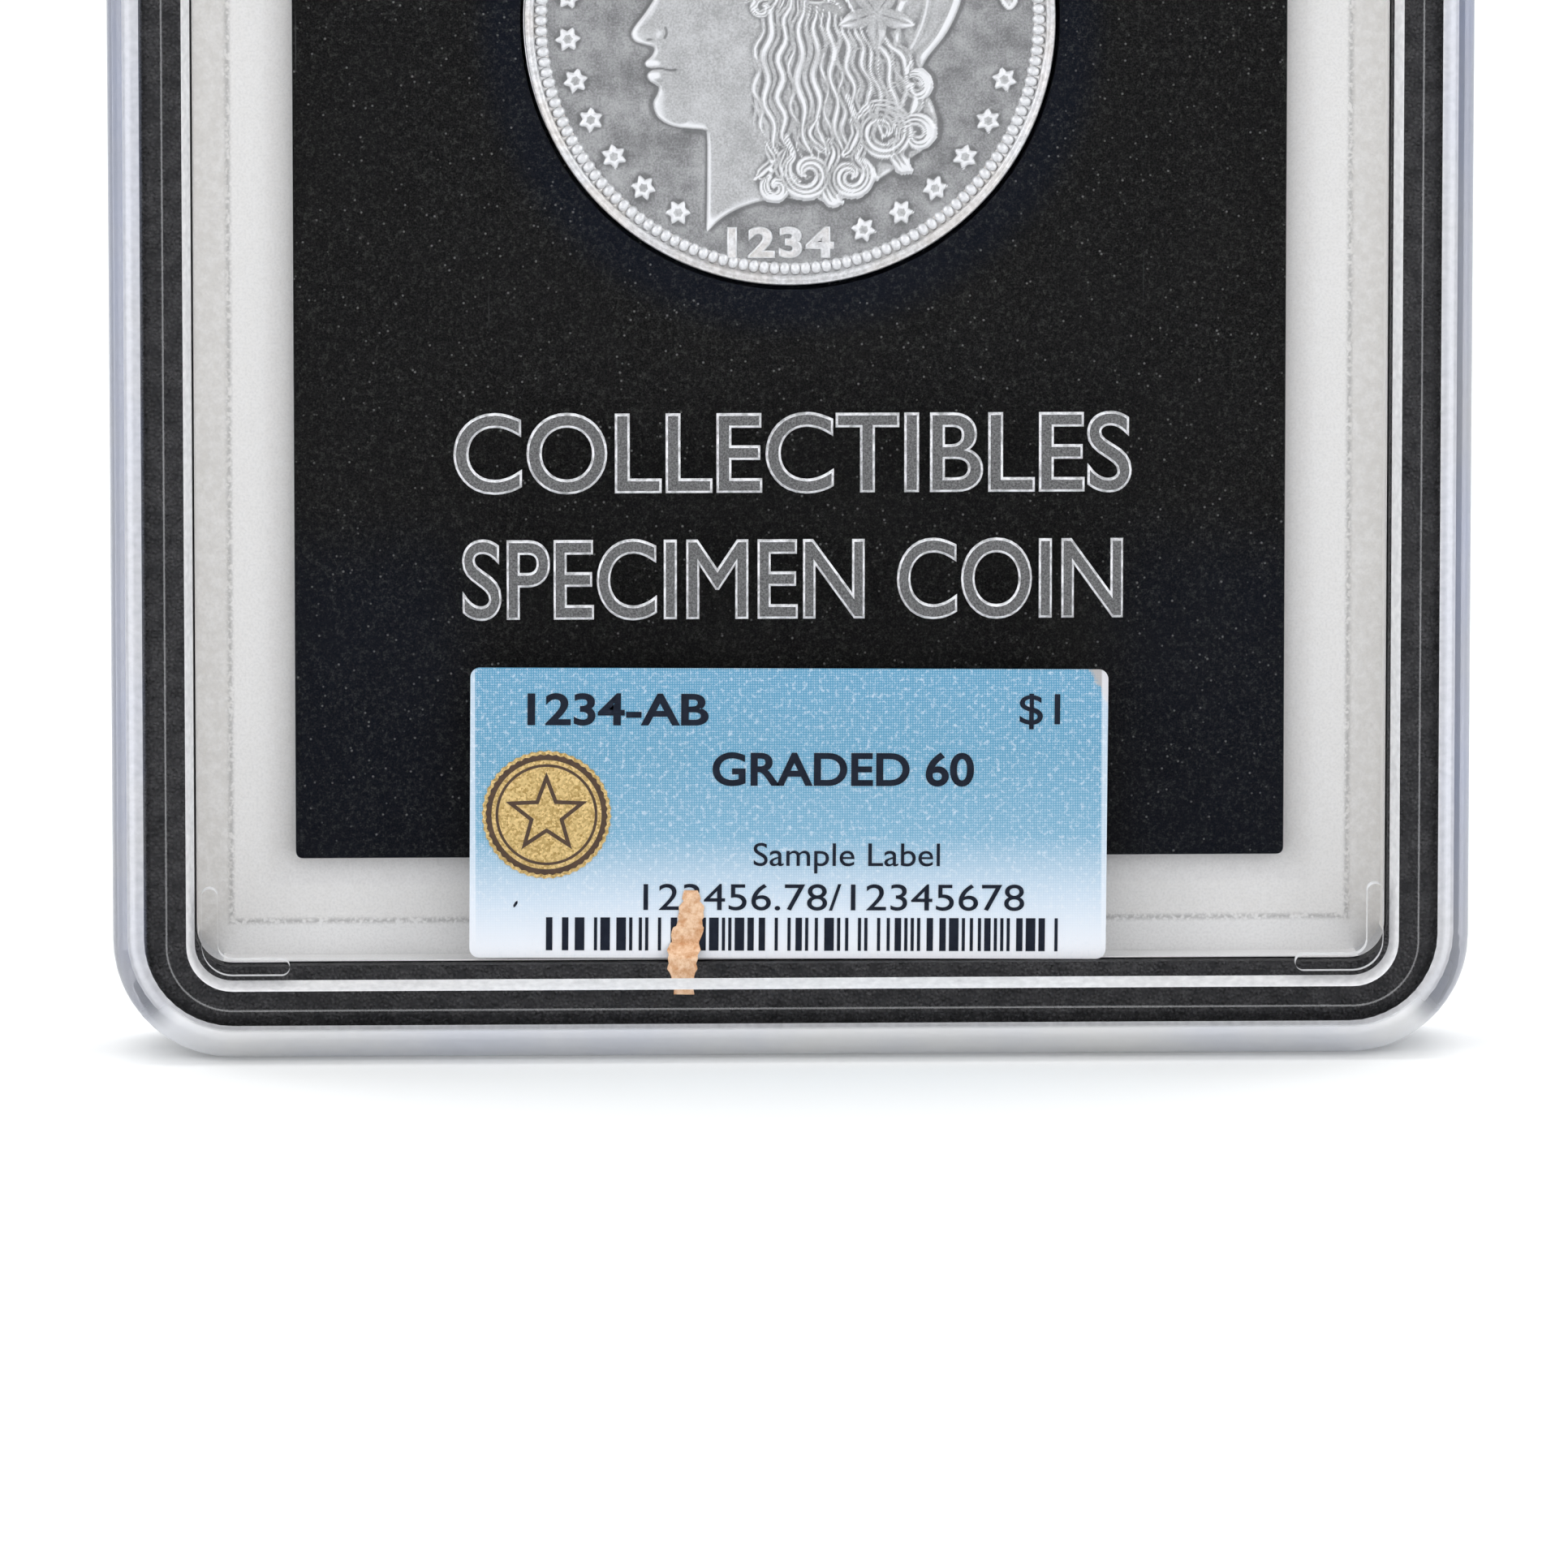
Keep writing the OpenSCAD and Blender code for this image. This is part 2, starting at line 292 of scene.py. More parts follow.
shell_plastic = clear_plastic("shell_plastic", (0.985, 0.985, 1.0), 0.1)
# Part glass, part opaque white: a painted highlight on the slopes and the lugs' sides.
paint = Paint("plastic_edge_painted_highlight")
grain = paint.noise(1800.0, 4.0)
edge_highlight_plastic = paint.finish(
    paint.either(
        0.55 + 0.35 * grain,
        paint.glass((0.99, 0.99, 1.0)),
        paint.solid(Base_Color=paint.blend(grain, (0.86, 0.86, 0.88), (0.99, 0.99, 1.0)), Roughness=0.4),
    )
)
INNER_EDGE = -5.69, -4.2  # depths of the rounded edge inside the front moulding
WINDOW_TO_RIM = -9.49, -8.11  # depths of the lugs and of the slope inside the rim
for node, parting in (("outer_front_shell", None), ("outer_rear_shell", 0.0)):
    shape = smooth_copy(node, parting)
    if parting is None:  # the lugs' sides and the slopes of the rim and of the moulding's inner edge, which carry a painted white highlight
        for face in shape.faces:
            middle = face.calc_center_median()
            y = middle.y / MM
            past_side = max(0.0, abs(middle.x) - SLAB_HALF_W + CORNER_R)
            past_end = max(0.0, abs(middle.z - SLAB_MIDDLE_Z) - SLAB_HALF_H + CORNER_R)
            in_rim = math.hypot(past_side, past_end) < CORNER_R - 2.6 * MM
            in_rim = in_rim and WINDOW_TO_RIM[0] < y < WINDOW_TO_RIM[1]
            sloped = abs(face.normal.y) < 0.9
            if -5.6 < y < INNER_EDGE[1] or sloped and (INNER_EDGE[0] < y < INNER_EDGE[1] or in_rim):
                face.material_index = 1
    moulding = piece(node + "_moulding", shape, shell_plastic, edge_highlight_plastic, body="slab")
    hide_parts(node)


# ---- Weld of the shells --------------------------------------------------
# Plastic that the welding horn melted between tongue and groove. It froze
# milky, so it shows as a pale line inside the wall.
paint = Paint("milky_weld")
grain = paint.noise(2500.0, 4.0)
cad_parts["shell_weld_bead"].data.materials.clear()
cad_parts["shell_weld_bead"].data.materials.append(
    paint.finish(
        paint.solid(
            Base_Color=paint.blend(grain, (0.62, 0.66, 0.74), (0.86, 0.88, 0.93)),
            Roughness=0.4 + 0.2 * grain,
            Normal=paint.bump(grain, 0.0001),
        )
    )
)


# ---- Foam gasket ---------------------------------------------------------
# A die-cut frame of black closed-cell foam round the case. It is squeezed
# against the shells' walls, and its skin is pebbled with small cells.
paint = Paint("closed_cell_foam")
cells = paint.add("TexVoronoi", {}, {"Vector": paint.place, "Scale": 3600.0, "Randomness": 1.0})
fine = paint.noise(5200.0, 3.0, roughness=0.7)
pebble = 1 - cells.rise(0.05, 0.7)
patches = fine.rise(0.3, 0.75) * paint.noise(700.0, 3.0).rise(0.3, 0.7)
foam_skin = paint.finish(
    paint.solid(
        Base_Color=paint.blend(
            0.35 * pebble * (0.6 + 0.4 * fine) + 0.65 * patches, (0.006, 0.006, 0.0065), (0.085, 0.082, 0.082)
        ),
        Roughness=0.75 - 0.2 * pebble,
        Normal=paint.bump(pebble + 0.25 * fine, 0.00018, 0.9),
    )
)
foam = bmesh.new()
foam.from_mesh(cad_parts["foam_gasket"].data)
bmesh.ops.remove_doubles(foam, verts=foam.verts, dist=0.000004)
BULGE_FRONT, BULGE_BACK = -4.6, 5.0  # between the shells' rounded inner edges
for depth in (BULGE_FRONT, BULGE_BACK):
    whole = foam.verts[:] + foam.edges[:] + foam.faces[:]
    bmesh.ops.bisect_plane(foam, geom=whole, dist=1e-7, plane_co=(0, depth * MM, 0), plane_no=(0, 1, 0))
FOAM_IN = 3.3 * MM  # how far in from the slab's side the foam's own outline is
for vert in foam.verts:
    x, z = vert.co.x, vert.co.z - SLAB_MIDDLE_Z
    past_side = max(0.0, abs(x) - SLAB_HALF_W + CORNER_R) * math.copysign(1, x)
    past_end = max(0.0, abs(z) - SLAB_HALF_H + CORNER_R) * math.copysign(1, z)
    past = Vector((past_side, 0, past_end))
    on_outline = abs(past.length - (CORNER_R - FOAM_IN)) < 0.05 * MM
    if on_outline and (BULGE_FRONT - 0.1) * MM < vert.co.y < (BULGE_BACK + 0.1) * MM:
        vert.co += past.normalized() * 1.06 * MM
gasket = piece("foam_frame", foam, foam_skin, body="slab")
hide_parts("foam_gasket")


# ---- Inner case ----------------------------------------------------------
# Two clear mouldings welded together round the insert. Their border is
# etched to a warm white frost, with a rough dark weld line near the outer edge.
# The band next to the insert is a little greyer, as painted shade in the step
# there, and the outer band is darker at the sides as painted shade, with a warmer tone.
case_low, case_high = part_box("case_front")
pocket_low, pocket_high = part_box("insert_plate")
seam_low, seam_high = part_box("case_weld_bead")
middle_z = (case_low.z + case_high.z) / 2
paint = Paint("frosted_case")
side, rise = paint.x.size(), (paint.z - middle_z).size()


def outside(low, high):
    """How far outside an upright rectangle a point is, in metres."""
    return (side - (high.x - low.x) / 2).either(rise - (high.z - low.z) / 2)


from_insert = outside(pocket_low, pocket_high)
from_seam = (outside(seam_low, seam_high) + 0.00025).size()
grain = paint.noise(1600.0, 5.0, roughness=0.7)
mottle = paint.noise(260.0, 3.0)
rough = paint.noise(3200.0, 2.0)
past_end, past_side = rise - (case_high.z - case_low.z) / 2, side - (case_high.x - case_low.x) / 2
ends = (past_end - past_side).rise(-0.002, 0.002)
# Painted shade: a little greyer next to the insert, and darker and warmer at the sides of the outer band.
near = paint.blend(ends, (0.90, 0.875, 0.84), (0.88, 0.86, 0.835))
far = paint.blend(ends, (0.76, 0.735, 0.695), (0.95, 0.94, 0.92))
frost = paint.blend(from_insert.rise(0.0019, 0.0024), near, (0.92, 0.90, 0.865))
frost = paint.blend(from_insert.rise(0.0045, 0.0051), frost, far)
frost = paint.blend(0.5 * grain.rise(0.35, 0.7), frost, (0.96, 0.945, 0.92))
frost = paint.blend(0.25 * paint.noise(6000.0, 2.0).rise(0.4, 0.7), frost, (0.62, 0.61, 0.60))
line = (1 - (from_seam + 0.0007 * (rough - 0.5)).rise(0.00005, 0.0004)) * rough.rise(0.36, 0.62)
frost = paint.blend(line * 0.6, frost, (0.33, 0.32, 0.31))
etched = paint.solid(
    Base_Color=frost, Roughness=0.55 + 0.3 * mottle, Normal=paint.bump(grain + line, 0.00008, 0.5)
)
window = paint.glass((0.99, 0.99, 0.985))
edge = outside(case_low, case_high) + 0.0001 > 0.0
parting = ((paint.y - case_high.y).size() < 0.00001).both(from_insert > 0.0001)
case_plastic = paint.finish(paint.either(edge.either(parting), window, etched))
for node, back in (("case_front", None), ("case_rear", case_high.y), ("case_weld_bead", case_high.y)):
    half = piece(node + "_moulding", smooth_copy(node, back), case_plastic, body="slab")
    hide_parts(node)


# ---- Insert plate --------------------------------------------------------
# A satin black moulded plate with the coin's round seat through it and a thin
# lip in the seat that steadies the coin. Its skin has a fine grain, a few pale
# specks of dust and hair scratches, and a painted bluish reflection round the
# coin and at the plate's sides below the top of the label.
paint = Paint("satin_black")
grain = paint.noise(7000.0, 3.0, roughness=0.65)
specks = paint.add("TexVoronoi", {}, {"Vector": paint.place, "Scale": 1700.0, "Randomness": 1.0})
sparse = paint.noise(900.0, 1.0)
speck = (1 - specks.rise(0.06, 0.2)) * sparse.rise(0.46, 0.6)
cloud = paint.noise(55.0, 3.0)
black = paint.blend(grain.rise(0.35, 0.75), (0.001, 0.001, 0.001), (0.021, 0.0195, 0.0175))
black = paint.blend(0.3 * cloud, black, (0.004, 0.005, 0.007))
away = (paint.x * paint.x + (paint.z - middle_z) * (paint.z - middle_z)).root()
above = (paint.z - 0.0365).rise(-0.004, 0.004)  # over the level of the label's top
# A painted bluish reflection: a ring round the coin and bands at the sides.
navy_reflection = (1 - away.rise(0.0205, 0.0235)).either((1 - above) * paint.x.size().rise(0.020, 0.027) * 0.8)
black = paint.blend(navy_reflection * (0.35 + 0.4 * cloud), black, (0.0012, 0.0042, 0.0125))
coarse = paint.noise(3600.0, 4.0, roughness=0.8)
black = paint.blend(coarse.rise(0.48, 0.7) * 0.36, black, (0.088, 0.087, 0.08))
drawn_out = {"Vector": paint.place, "Rotation": (0, 0.9, 0), "Scale": (2400.0, 1.0, 60.0)}
scratches = paint.noise(1.0, 2.0, place=paint.add("Mapping", {}, drawn_out))
black = paint.blend(scratches.rise(0.72, 0.8) * 0.12, black, (0.3, 0.3, 0.3))
black = paint.blend(speck * 0.45, black, (0.3, 0.3, 0.29))
insert_skin = paint.finish(
    paint.solid(
        Base_Color=black,
        Roughness=0.55 + 0.15 * grain,
        Specular_IOR_Level=0.1,
        Normal=paint.bump(grain + speck, 0.00003, 0.5),
    )
)
plate_shape = smooth_copy("insert_plate")
TO_POCKET = 0.13 * MM  # the plate fills its pocket up to the walls
for vert in plate_shape.verts:
    if abs(vert.co.x) > 34.8 * MM:
        vert.co.x += math.copysign(TO_POCKET, vert.co.x)
    if abs(vert.co.z - middle_z) > 59.5 * MM:
        vert.co.z += math.copysign(TO_POCKET, vert.co.z - middle_z)
seat_middle = (pocket_low + pocket_high) / 2
LIP = (19.38, -0.1), (19.09, -0.1), (19.09, 0.5), (19.38, 0.5)  # the lip's section: radius and depth
chain = [plate_shape.verts.new((r * MM, y * MM, 0)) for r, y in LIP]
chain += [plate_shape.edges.new(pair) for pair in zip(chain, chain[1:])]
whole_turn = {"cent": (0, 0, 0), "axis": (0, 1, 0), "angle": 2 * math.pi, "use_merge": True}
bmesh.ops.spin(plate_shape, geom=chain, steps=180, use_duplicate=False, **whole_turn)
lip = [
    v
    for v in plate_shape.verts
    if 19.0 * MM < v.co.xz.length < 19.4 * MM and abs(v.co.y - 0.2 * MM) < 0.31 * MM
]
bmesh.ops.translate(plate_shape, verts=lip, vec=seat_middle)
lip_faces = list(dict.fromkeys(f for v in lip for f in v.link_faces))
bmesh.ops.recalc_face_normals(plate_shape, faces=lip_faces)
plate = piece("insert_plate_skin", plate_shape, insert_skin, body="slab")
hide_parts("insert_plate")


# ---- Label ---------------------------------------------------------------
# A printed paper label on the front of the case, sky blue at the top and
# nearly white at the bottom, in a fine diagonal halftone with white flecks.
label_low, label_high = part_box("grading_label")
label_middle = (label_low + label_high) / 2
label_turn = math.radians(-0.4)
LABEL_W, LABEL_H = 45.8 * MM, 21 * MM

paint = Paint("printed_paper")
down = (label_high.z - 0.0001 - paint.z) * (1 / LABEL_H)
fleck = paint.noise(2600.0, 4.0, roughness=0.75)
along, across = (paint.x + paint.z) * 18000.0, (paint.x - paint.z) * 18000.0
weave = along.sum("SINE", along) * across.sum("SINE", across)
ink = paint.add(
    "ValToRGB",
    {
        "stops": [
            (0.0, (0.075, 0.295, 0.46)),
            (0.3, (0.085, 0.305, 0.46)),
            (0.58, (0.16, 0.385, 0.54)),
            (0.8, (0.60, 0.71, 0.80)),
            (1.0, (0.97, 0.97, 0.98)),
        ]
    },
    {0: down},
)
sheet = paint.blend(0.3 * weave.rise(-0.2, 0.9), ink, (0.85, 0.92, 0.97))
sheet = paint.blend(0.5 * fleck.rise(0.5, 0.68), sheet, (0.82, 0.86, 0.89))
from_corner = (paint.x - 0.0005 - (label_high.x - 0.0022)) - (label_high.z - paint.z) * 0.55
torn_off = from_corner + (fleck - 0.5) * 0.0012  # the paper's top right corner is rubbed off
sheet = paint.blend(torn_off.rise(0.0, 0.0004) * 0.85, sheet, (0.46, 0.41, 0.37))
cut_edge = ((paint.x - label_middle.x).size() - (LABEL_W / 2 - 0.00045)).rise(0.0, 0.0001)
sheet = paint.blend(cut_edge * 0.5, sheet, (0.9, 0.92, 0.94))
label_paper = paint.finish(
    paint.solid(Base_Color=sheet, Roughness=0.55, Normal=paint.bump(fleck, 0.00002, 0.4))
)
paper = piece("label_sheet", smooth_copy("grading_label"), label_paper, body="slab")
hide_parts("grading_label")


def on_label(x, y, depth=0.0):
    """A place on the label, in millimetres from its top left corner, and a depth in metres."""
    u, v = x * MM - LABEL_W / 2, LABEL_H / 2 - y * MM
    c, s = math.cos(label_turn), math.sin(label_turn)
    return Vector((label_middle.x + c * u - s * v, label_low.y - depth, label_middle.z + s * u + c * v))


CAPITAL = 0.729  # the height of a capital in the built-in font, at size 1


def lettering(words, height, place, turned=0.0, width=None, thick=0.0, bold=0.0, bevel=0.0, spacing=1.0):
    """Words as a mesh, standing up and facing the front, with their middle at a place.
    They are made at size 1, because bevels and bold outlines fail at their real size."""
    curve = bpy.data.curves.new("words", "FONT")
    curve.body, curve.align_x, curve.align_y = words, "LEFT", "BOTTOM_BASELINE"
    curve.space_character = spacing
    scale = height / CAPITAL
    curve.size = 1.0
    curve.extrude, curve.offset = thick / 2 / scale, bold / scale
    curve.bevel_depth, curve.bevel_resolution = bevel / scale, 0
    curve.resolution_u = 8
    probe = bpy.data.objects.new("words", curve)
    bpy.context.scene.collection.objects.link(probe)
    bpy.context.view_layer.update()
    mesh = bpy.data.meshes.new_from_object(probe.evaluated_get(bpy.context.evaluated_depsgraph_get()))
    bpy.data.objects.remove(probe)
    shape = bmesh.new()
    shape.from_mesh(mesh)
    bmesh.ops.remove_doubles(shape, verts=shape.verts, dist=1e-4)
    bmesh.ops.scale(shape, verts=shape.verts, vec=(scale, scale, scale))
    low = min(v.co.x for v in shape.verts)
    high = max(v.co.x for v in shape.verts)
    stretch = width / (high - low) if width else 1.0
    bmesh.ops.translate(shape, verts=shape.verts, vec=(-(low + high) / 2, -height / 2, 0))
    bmesh.ops.scale(shape, verts=shape.verts, vec=(stretch, 1, 1))
    for angle, axis in ((turned, "Z"), (math.pi / 2, "X")):
        bmesh.ops.rotate(shape, verts=shape.verts, cent=(0, 0, 0), matrix=Matrix.Rotation(angle, 3, axis))
    bmesh.ops.translate(shape, verts=shape.verts, vec=place)
    return shape


paint = Paint("black_ink")
wear = paint.noise(1500.0, 3.0)
ink = paint.blend(wear, (0.006, 0.008, 0.016), (0.02, 0.026, 0.04))
black_ink = paint.finish(paint.solid(Base_Color=ink, Roughness=0.7, Specular_IOR_Level=0.1))
for name, words, x, y, height, width, bold in (
    ("label_date", "1234-AB", 10.6, 2.9, 2.3, 13.0, 0.00007),
    ("label_value", "$1", 40.9, 2.8, 2.3, 2.9, 0.000015),
    ("label_grade", "GRADED 60", 26.8, 7.2, 2.4, 18.8, 0.00007),
    ("label_group", "Sample Label", 27.1, 13.4, 1.75, 13.4, 0.0),
    ("label_number", "123456.78/12345678", 26.2, 16.5, 2.0, 27.4, 0.0),
):
    place = on_label(x, y, 0.02 * MM)
    shape = lettering(words, height * MM, place, label_turn, width * MM, bold=bold, thick=0.03 * MM)
    piece(name, shape, black_ink, body="slab")

# Bars of a made-up number, and a stray fleck of ink.
bars = bmesh.new()
deal = random.Random(11)


def place_ink(verts, size, turned, x, y):
    bmesh.ops.scale(bars, verts=verts, vec=Vector(size) * MM)
    bmesh.ops.rotate(bars, verts=verts, cent=(0, 0, 0), matrix=Matrix.Rotation(turned, 3, "Y"))
    bmesh.ops.translate(bars, verts=verts, vec=on_label(x, y, 0.01 * MM))


across, last = 5.5, 42.4
while across < last:
    wide = deal.choice((0.23, 0.23, 0.23, 0.46, 0.69))
    cube = bmesh.ops.create_cube(bars, size=1)["verts"]
    place_ink(cube, (wide, 0.03, 2.4), -label_turn, across + wide / 2, 19.25)
    across += wide + deal.choice((0.23, 0.23, 0.35, 0.46, 0.69))
fleck = bmesh.ops.create_icosphere(bars, subdivisions=1, radius=1)["verts"]
place_ink(fleck, (0.12, 0.02, 0.3), 0.5, 3.3, 17.1)
piece("label_bars", bars, black_ink, body="slab")


# ---- Foil seal -----------------------------------------------------------
# A round seal of glittering gold foil with a pinked edge, stuck on the
# label. Two dark brown lines run round it, and it carries a plain star.
seal_low, seal_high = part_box("foil_seal")
seal_middle = (seal_low + seal_high) / 2
paint = Paint("gold_glitter")
glitter = paint.add("TexVoronoi", {}, {"Vector": paint.place, "Scale": 7000.0}, "Color")
shine = paint.add("SeparateColor", {}, {0: glitter})
grain = paint.noise(3500.0, 3.0)
gold = paint.finish(
    paint.solid(
        Base_Color=paint.blend(shine, (0.42, 0.27, 0.075), (0.86, 0.64, 0.28)),
        Metallic=0.55,
        Roughness=0.3 + 0.3 * grain,
        Normal=paint.bump(shine, 0.00006, 0.8),
    )
)
paint = Paint("brown_line")
umber = paint.blend(paint.noise(2500.0), (0.03, 0.014, 0.006), (0.10, 0.05, 0.02))
brown = paint.finish(paint.solid(Base_Color=umber, Roughness=0.5))


def layer(shape, segments, radius, tall, colour):
    """A disc lying on XY, in one of the seal's two colours."""
    size = {"radius1": radius * MM, "radius2": radius * MM, "depth": tall * MM}
    made = bmesh.ops.create_cone(shape, segments=segments, cap_ends=True, **size)["verts"]
    for vert in made:
        vert.co.z += tall / 2 * MM
    for face in {f for v in made for f in v.link_faces}:
        face.material_index = colour
    return made


GOLD, BROWN = 0, 1
PINKS, PINK_DEPTH = 48, 0.012  # the notches round the edge
seal = bmesh.new()
for radius, tall, pinked, colour in (
    (4.66, 0.05, True, GOLD),
    (4.4, 0.06, True, BROWN),
    (3.95, 0.07, False, GOLD),
    (3.66, 0.08, False, BROWN),
    (3.46, 0.09, False, GOLD),
):
    for vert in layer(seal, 192, radius, tall, colour):
        if pinked:
            vert.co.xy *= 1 - PINK_DEPTH * (1 + math.sin(PINKS * math.atan2(vert.co.y, vert.co.x)))
POINTS, DIP = 5, 0.42  # a star is a ten-sided disc with every other corner pulled in
for radius, tall, colour in ((3.1, 0.1, BROWN), (2.3, 0.115, GOLD)):
    for vert in layer(seal, POINTS * 2, radius, tall, colour):
        if round(math.degrees(math.atan2(vert.co.y, vert.co.x)) * POINTS / 180 - POINTS / 2) % 2:
            vert.co.xy *= DIP
bmesh.ops.rotate(seal, verts=seal.verts, cent=(0, 0, 0), matrix=Matrix.Rotation(math.pi / 2, 3, "X"))
bmesh.ops.translate(seal, verts=seal.verts, vec=(seal_middle.x, seal_high.y, seal_middle.z))
badge = piece("seal_badge", seal, gold, brown, body="slab")
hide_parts("foil_seal")


# ---- Paper scrap ---------------------------------------------------------
# A torn shred of an older paper sticker, left on the label. It hangs over
# the bottom of the case, in the gap between the foam and the window.
paint = Paint("torn_paper")
pulp = paint.noise(1800.0, 5.0, roughness=0.7)
torn = paint.finish(
    paint.solid(
        Base_Color=paint.blend(pulp.rise(0.3, 0.7), (0.62, 0.30, 0.13), (0.92, 0.66, 0.44)),
        Roughness=0.85,
        Normal=paint.bump(pulp, 0.0001),
    )
)
ROWS = 26
shred = bmesh.new()
bmesh.ops.create_grid(shred, x_segments=6, y_segments=ROWS, size=0.5)
tear = random.Random(5)
jag = [(tear.uniform(-0.12, 0.12), tear.uniform(-0.25, 0.25)) for _ in range(ROWS + 1)]
for vert in shred.verts:
    row = round((0.5 - vert.co.y) * ROWS)
    along = row / ROWS
    width = 0.45 + 1.75 * math.sin(math.pi * min(1, along * 0.8 + 0.06)) ** 0.8
    side = vert.co.x * width + jag[row][0] * (vert.co.x * 2) + 0.18 * math.sin(along * 7) - 0.6 * along
    place = on_label(15.9 + side, 16.0 + 7.4 * along + jag[row][1] * 0.5)
    lift = 0.03 + 0.06 * (0.5 + 0.5 * math.sin(along * 19 + vert.co.x * 5))
    past = max(0.0, along - 0.54) / 0.1
    vert.co = place + Vector((0, -(lift + 0.96 * min(1, past) ** 1.5) * MM, 0))
for face in bmesh.ops.extrude_face_region(shred, geom=shred.faces[:])["geom"]:
    if isinstance(face, bmesh.types.BMVert):
        face.co.y -= 0.03 * MM
bmesh.ops.recalc_face_normals(shred, faces=shred.faces)
piece("paper_scrap", shred, torn, body="slab")


# ---- Raised lettering ----------------------------------------------------
# Two lines of capitals moulded on the front of the case, over the insert.
# Their tops are etched to a dull grey and their slopes carry a painted white highlight, broken up by noise.
paint = Paint("etched_letter_top")
grain = paint.noise(6500.0, 4.0, roughness=0.75)
letter_top = paint.finish(
    paint.solid(
        Base_Color=paint.blend(grain.rise(0.3, 0.72), (0.035, 0.035, 0.035), (0.21, 0.21, 0.205)),
        Roughness=0.6,
        Normal=paint.bump(grain, 0.00005),
    )
)
# A painted white highlight on the letters' slopes, patchy with noise.
paint = Paint("letter_slope_painted_highlight")
highlight_breakup = paint.noise(1500.0, 5.0, roughness=0.7).rise(0.3, 0.65)
slope_highlight = paint.blend(highlight_breakup, (0.36, 0.36, 0.36), (0.92, 0.92, 0.92))
letter_slope = paint.finish(paint.solid(Base_Color=slope_highlight, Roughness=0.35))
for name, words, over_label, width in (
    ("lettering_upper", "COLLECTIBLES", 15.6, 48.6),
    ("lettering_lower", "SPECIMEN COIN", 6.5, 47.4),
):
    place = Vector((0.1 * MM, case_low.y - 0.1 * MM, label_high.z + over_label * MM))
    shape = lettering(words, 5.75 * MM, place, width=width * MM, thick=0.04 * MM, bevel=0.18 * MM)
    bmesh.ops.recalc_face_normals(shape, faces=shape.faces)
    shape.normal_update()
    for face in shape.faces:
        face.material_index = 0 if abs(face.normal.y) > 0.9 else 1
    line = piece(name, shape, letter_top, letter_slope, body="slab")


# ---- Coin ----------------------------------------------------------------
# A struck silver coin, loose in its seat. Its raised rim has a beaded ring
# inside it. The front has a head facing left, thirteen stars, small sprays
# of leaves and a date; the back has a wreath round a figure.
coin_low, coin_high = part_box("coin")
coin_middle = (coin_low + coin_high) / 2
FIELD_R = 17.5  # in millimetres, as everything in the relief is
PROUD = 1.2 - 0.35  # from the coin's middle plane to its field


def smooth(t):
    t = np.clip(t, 0, 1)
    return t * t * (3 - 2 * t)


def through(points, steps=8, closed=False):
    """Closely spaced places on a smooth curve through the points."""
    p = np.array(points, float)
    p = np.vstack([p[-1], p, p[0], p[1]]) if closed else np.vstack([2 * p[0] - p[1], p, 2 * p[-1] - p[-2]])
    t = np.linspace(0, 1, steps, endpoint=False)[:, None]
    curve = [
        0.5 * (2 * b + (c - a) * t + (2 * a - 5 * b + 4 * c - d) * t**2 + (3 * b - a - 3 * c + d) * t**3)
        for a, b, c, d in zip(p, p[1:], p[2:], p[3:])
    ]
    return np.vstack(curve + ([] if closed else [p[-2][None]]))


def beside(u, v, line):
    """How far each place is from a line, on which side of it, and how far along it."""
    best, side, along = np.full(u.shape, 1e9), np.zeros(u.shape), np.zeros(u.shape)
    for i, (a, b) in enumerate(zip(line, line[1:])):
        d = b - a
        t = np.clip(((u - a[0]) * d[0] + (v - a[1]) * d[1]) / (d @ d + 1e-12), 0, 1)
        du, dv = u - a[0] - t * d[0], v - a[1] - t * d[1]
        far = du * du + dv * dv
        nearer = far < best
        best[nearer] = far[nearer]
        side[nearer] = np.sign(d[0] * dv - d[1] * du)[nearer]
        along[nearer] = ((i + t) / (len(line) - 1))[nearer]
    return np.sqrt(best), side, along


def within(u, v, ring):
    """Depth inside a closed outline, negative outside it."""
    inside = np.zeros(u.shape, bool)
    for (au, av), (bu, bv) in zip(ring, np.roll(ring, -1, 0)):
        inside ^= ((av > v) != (bv > v)) & (u < (bu - au) * (v - av) / (bv - av + 1e-12) + au)
    far = beside(u, v, np.vstack([ring, ring[0]]))[0]
    return np.where(inside, far, -far)


def mound(u, v, at, size, turned, height):
    """A soft bump, or a hollow if its height is negative."""
    c, s = math.cos(math.radians(turned)), math.sin(math.radians(turned))
    a, b = (u - at[0]) * c + (v - at[1]) * s, (v - at[1]) * c - (u - at[0]) * s
    return height * np.exp(-((a / size[0]) ** 2) - (b / size[1]) ** 2)


def ridge(u, v, points, width, height):
    """A soft ridge along a curve, tapering at its ends."""
    far, _, along = beside(u, v, through(points))
    return height * np.exp(-((far / width) ** 2)) * smooth(along * 6) * smooth((1 - along) * 6)


